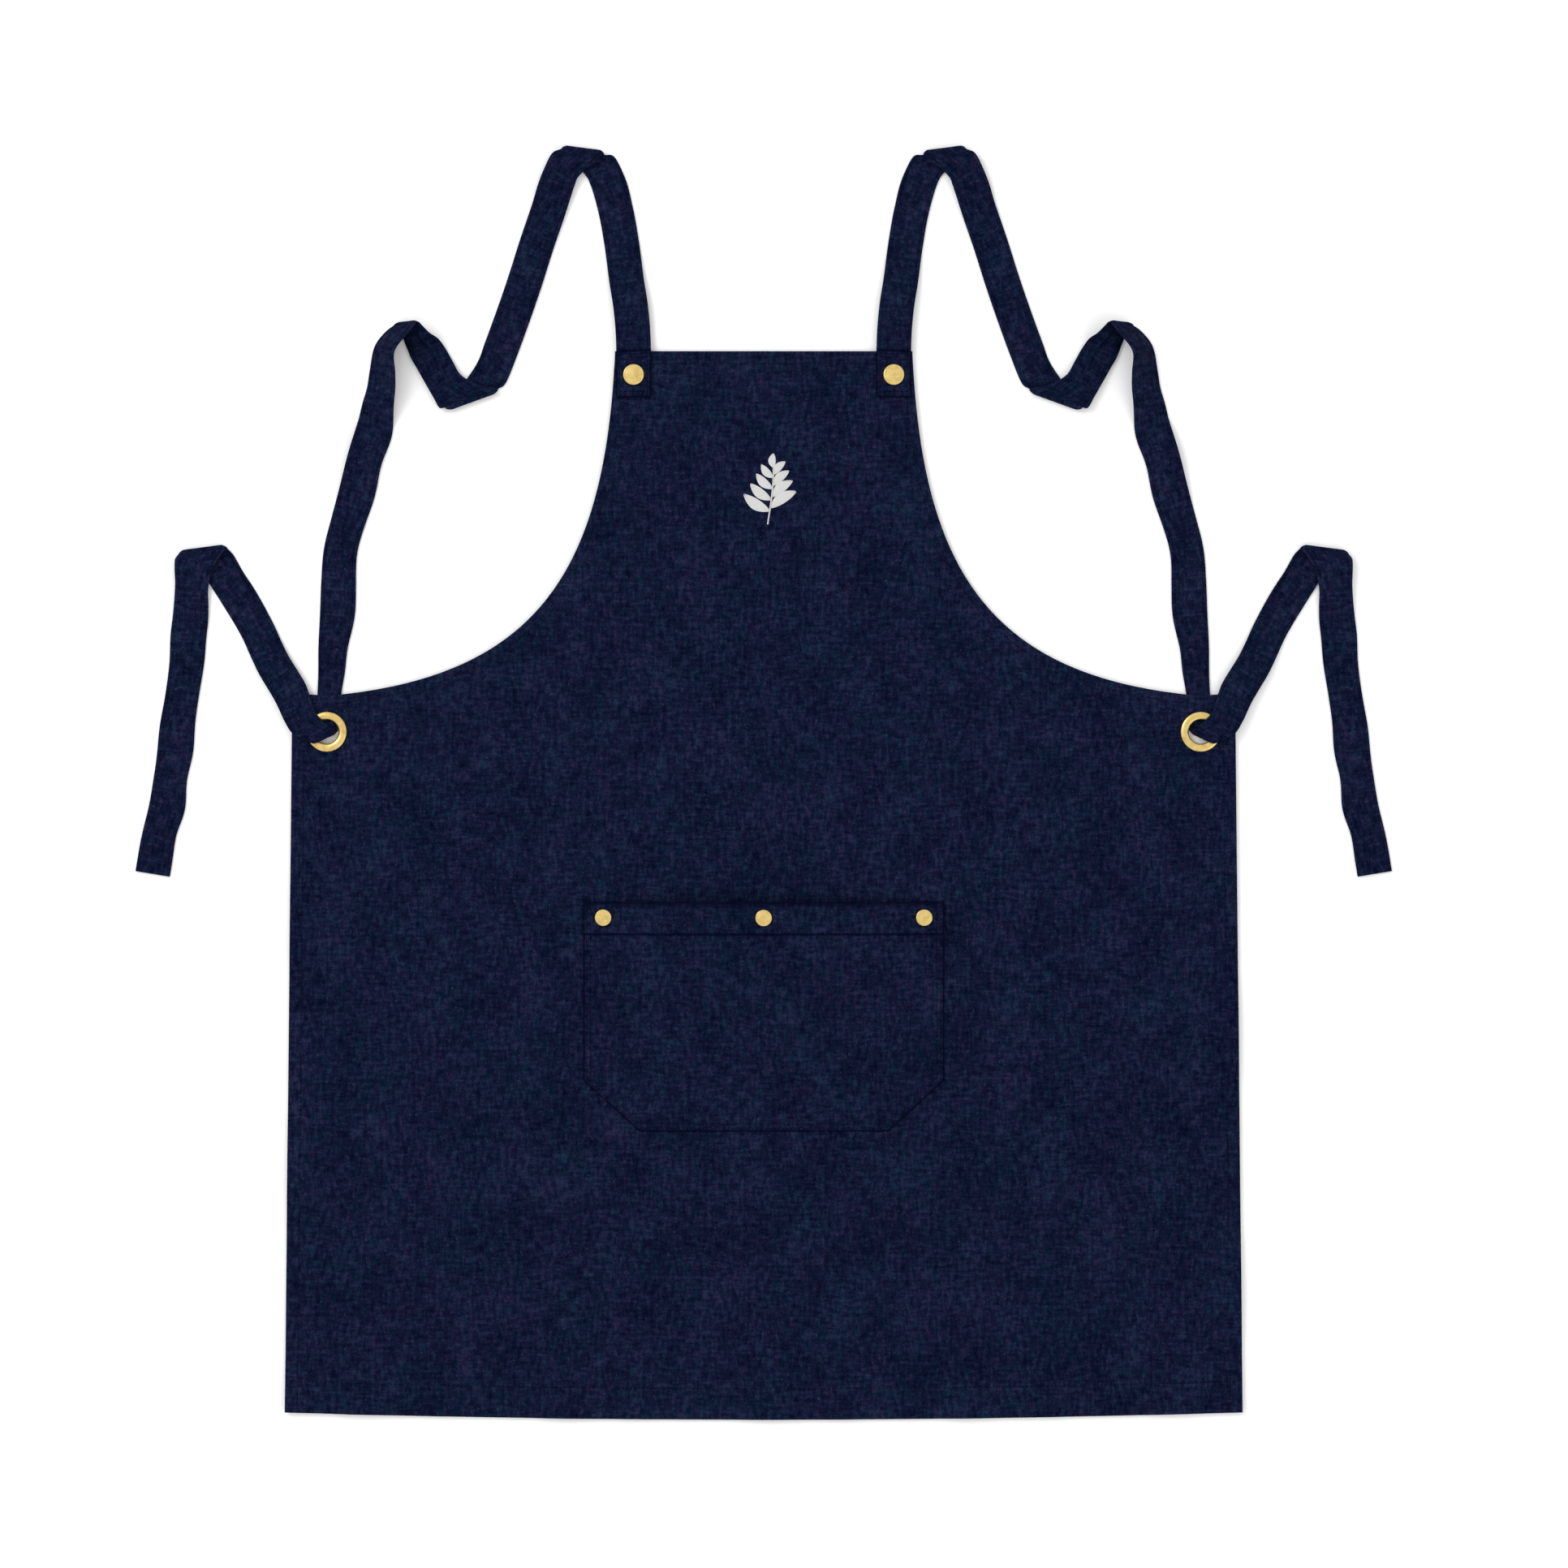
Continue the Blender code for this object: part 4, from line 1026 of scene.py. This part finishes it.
def make_pocket():
    """The pocket, the band along its mouth and all their stitches."""
    net = pocket_net(POCKET_LOW.y, POCKET_TOP)
    sewn = distance(net[0], pocket_outline())
    depth = np.minimum(sewn, POCKET_TOP - net[0][:, 1])
    pocket = make_ply("pocket_cloth", net, pocket_front(net[0]), depth, sewn)
    net = pocket_net(BAND_LOW.y, BAND_HIGH.y, [BAND_STITCHES + s for s in (-0.7 * MM, 0, 0.7 * MM)])
    x, y = net[0].T
    depth = np.min([y - BAND_LOW.y, BAND_HIGH.y - y, POCKET_HALF - np.abs(x)], axis=0)
    band = make_ply("pocket_band", net, band_front(net[0]), depth, depth)
    low_y, half = POCKET_LOW.y, POCKET_HALF
    runs = []

    def sew(corners, front, sides=(1, -1)):
        line = resample(corners, 2.5 * MM)
        for side in sides:
            spots = line * (side, 1)
            runs.append(level_run(spots, front(spots)))

    for inset in POCKET_SEAMS:
        corner_x, corner_y = (size + inset * 0.4 for size in POCKET_CORNER)
        sew([(inset - half, BAND_LOW.y - 1 * MM), (inset - half, low_y + corner_y),
             (corner_x - half, low_y + inset), (0, low_y + inset)], pocket_front)
        sew([(inset - half, BAND_STITCHES), (inset - half, BAND_HIGH.y - 1.5 * MM)], band_front)
    sew([(2 * MM - half, BAND_STITCHES), (half - 2 * MM, BAND_STITCHES)], band_front, (1,))
    stitches = stitching("pocket_stitches", runs)
    for piece in (pocket, band, stitches):
        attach(piece, "apron_cloth")
    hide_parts("pocket")
    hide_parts("pocket_mouth_band")


# Hardware

RING_HOLE = 9 * MM
RING_SEAT = 3.9 * MM  # height of the cloth's front under the flange
CAP_HEIGHT = 1.6 * MM
POST = 1.8 * MM  # radius of a rivet's post
BORE = 0.02 * MM  # the caps' sections stop this close to their axis
CAP_SHARES = (0.76, 0.68, 0.58, 0.46, 0.34, 0.22, 0.1)  # rings on a cap's dome, in shares of its radius


def turned(name, node, profile, parts):
    """A brass lathe piece on its CAD node's place, from the outline of its section as (radius, height)."""
    centre = middle_of(node)
    points = []
    for radius, height in profile:
        for k in range(parts):
            turn = math.tau * k / parts
            points.append((centre.x + radius * math.cos(turn), centre.y + radius * math.sin(turn), height))
    faces = rows_to_faces(len(profile), parts, closed=True, wrap=True)
    piece = build(name, points, faces, brass, smooth_angle=38)
    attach(piece, "apron_cloth")
    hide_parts(node)


def arc(centre, radius, start, end, count):
    """Points on an arc in (radius, height), angles in degrees from outwards towards up."""
    turns = np.radians(np.linspace(start, end, count))
    return [(centre[0] + radius[0] * math.cos(a), centre[1] + radius[1] * math.sin(a)) for a in turns]


def make_ring(side):
    """The eyelet's rolled flange and the barrel through the cloth."""
    lowest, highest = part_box(f"{side}_eyelet")
    outer, hole, seat = (highest.x - lowest.x) / 2, RING_HOLE, RING_SEAT
    dome = arc(((outer + hole) / 2, seat), ((outer - hole) / 2, highest.z - seat), 0, 180, 15)
    barrel = hole + 0.7 * MM
    section = [(barrel, lowest.z), (barrel, seat), (outer - 0.2 * MM, seat), *dome,
               (hole, seat - 0.6 * MM), (hole, lowest.z)]
    turned(f"{side}_eyelet_ring", f"{side}_eyelet", section, 96)


def make_cap(node, name):
    """A rivet's domed cap with a rolled rim, on its post."""
    lowest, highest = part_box(node)
    radius, height = (highest.x - lowest.x) / 2, CAP_HEIGHT
    seat = highest.z - height
    section = [(BORE, lowest.z), (POST, lowest.z), (POST, seat + 0.1 * MM), (radius * 0.93, seat)]
    section += arc((radius * 0.9, seat + 0.42 * height), (radius * 0.1, 0.42 * height), -70, 88, 9)
    section += [(radius * 0.84, seat + 0.76 * height), (radius * 0.8, seat + 0.77 * height)]
    section += [(radius * share, seat + height * (0.78 + 0.22 * (1 - (share / 0.78) ** 2)))
                for share in CAP_SHARES]
    section += [(BORE, highest.z)]
    turned(name, node, section, 64)


# The bib's emblem: a plain sprig, embroidered

def satin_leaf(base, bearing, length, width):
    """A raised almond of satin stitches with a vein along it."""
    rows, columns = 13, 9
    way = Vector((math.cos(bearing), math.sin(bearing)))
    side = Vector((-way.y, way.x))
    points, along = [], []
    for i in range(rows):
        t = i / (rows - 1)
        half = width / 2 * math.sin(math.pi * min(1, t * 0.96 + 0.02)) ** 0.8
        spine = base + way * length * t + side * width * 0.18 * math.sin(math.pi * t)
        for j in range(columns):
            v = 2 * j / (columns - 1) - 1
            spot = spine + side * half * v
            crown = 0.55 * MM * (1 - v * v) * math.sin(math.pi * min(1, t + 0.04)) ** 0.5
            crown -= 0.22 * MM * math.exp(-(v / 0.22) ** 2)
            points.append((spot.x, spot.y, PANEL_TOP + crown + 0.05 * MM))
            along.append((length * t + width * 0.25 * abs(v), 0))
    under = [(x, y, PANEL_TOP - 0.15 * MM) for x, y, _ in points]
    upper = [face[::-1] for face in rows_to_faces(rows, columns)]
    return points + under, both_sides(upper, len(points)), along + along


def make_emblem():
    """A sprig of nine satin leaves on a stitched stem."""
    points, faces, threads = [], [], []

    def add(more, patches, along):
        faces.extend(tuple(i + len(points) for i in f) for f in patches)
        points.extend(more)
        threads.extend(along)

    def stem(t):
        return EMBLEM + Vector((3.2 * MM * math.sin(2.2 * t - 0.3), (t - 0.5) * 46 * MM))

    for k in range(4):
        t = 0.2 + 0.18 * k
        for side in (1, -1):
            base = stem(t + (0.05 if side > 0 else 0))
            bearing = math.pi / 2 - side * (1.0 - 0.09 * k)
            add(*satin_leaf(base, bearing, (23 - 3.2 * k) * MM, (8.2 - 0.8 * k) * MM))
    add(*satin_leaf(stem(0.9), math.pi / 2, 11 * MM, 5.6 * MM))
    line = level_run([stem(t) for t in np.linspace(-0.02, 0.94, 40)], PANEL_TOP + 0.2 * MM)
    more, patches = stitch_run(*line, pitch=2.1 * MM, length=2.6 * MM, thread=0.62 * MM)
    add(more, patches, [(spot[0] + spot[1], 0) for spot in more])
    emblem = build("bib_emblem", points, faces, satin, threads)
    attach(emblem, "apron_cloth")


# Stage

FLOOR_REACH, FLOOR_LEVEL = 14, -0.2 * MM
LENS, SENSOR = 100, 36
FIELD = 1.1747  # width of the view at the table
VIEW_MIDDLE = (15.2 * MM, -1.2 * MM)


def make_stage():
    """Pale floor, white surroundings and two soft lamps."""
    mesh = bpy.data.meshes.new("floor")
    corners = [(-1, -1), (1, -1), (1, 1), (-1, 1)]
    points = [(x * FLOOR_REACH, y * FLOOR_REACH, FLOOR_LEVEL) for x, y in corners]
    mesh.from_pydata(points, [], [(0, 1, 2, 3)])
    mesh.materials.append(make_floor_look())
    floor = bpy.data.objects.new("floor", mesh)
    bpy.context.collection.objects.link(floor)

    world = bpy.data.worlds.new("studio")
    world.use_nodes = True
    white = world.node_tree.nodes["Background"].inputs
    white["Color"].default_value, white["Strength"].default_value = (1, 1, 1, 1), 1.0
    bpy.context.scene.world = world

    def lamp(name, place, size, power):
        light = bpy.data.lights.new(name, "AREA")
        light.shape, light.size, light.energy = "DISK", size, power
        obj = bpy.data.objects.new(name, light)
        obj.location = place
        obj.rotation_euler = (-Vector(place)).to_track_quat("-Z", "Y").to_euler()
        bpy.context.collection.objects.link(obj)

    lamp("key", (-2.2, 1.6, 2.6), 1.6, 44)
    lamp("fill", (2.4, -1.8, 2.4), 2.4, 12)


def make_camera():
    """A long lens straight above, which shows the same frame as the photo."""
    camera = bpy.data.objects.new("camera", bpy.data.cameras.new("camera"))
    camera.data.lens, camera.data.sensor_width = LENS, SENSOR
    camera.location = (*VIEW_MIDDLE, FIELD * LENS / SENSOR)
    bpy.context.collection.objects.link(camera)
    bpy.context.scene.camera = camera


make_camera()
make_panel()
make_pocket()
make_emblem()
for side, flip in (("left", False), ("right", True)):
    make_facing(side, flip)
    make_loop(side, flip)
    make_tie(side, flip)
    make_ring(side)
    make_cap(f"{side}_strap_stud", f"{side}_stud_cap")
for place in ("left", "centre", "right"):
    make_cap(f"pocket_rivet_{place}", f"pocket_rivet_cap_{place}")
for name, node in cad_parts.items():
    if not node.hide_render:
        node.data.materials[0] = brass
make_stage()
bpy.context.scene.view_settings.view_transform = "Standard"
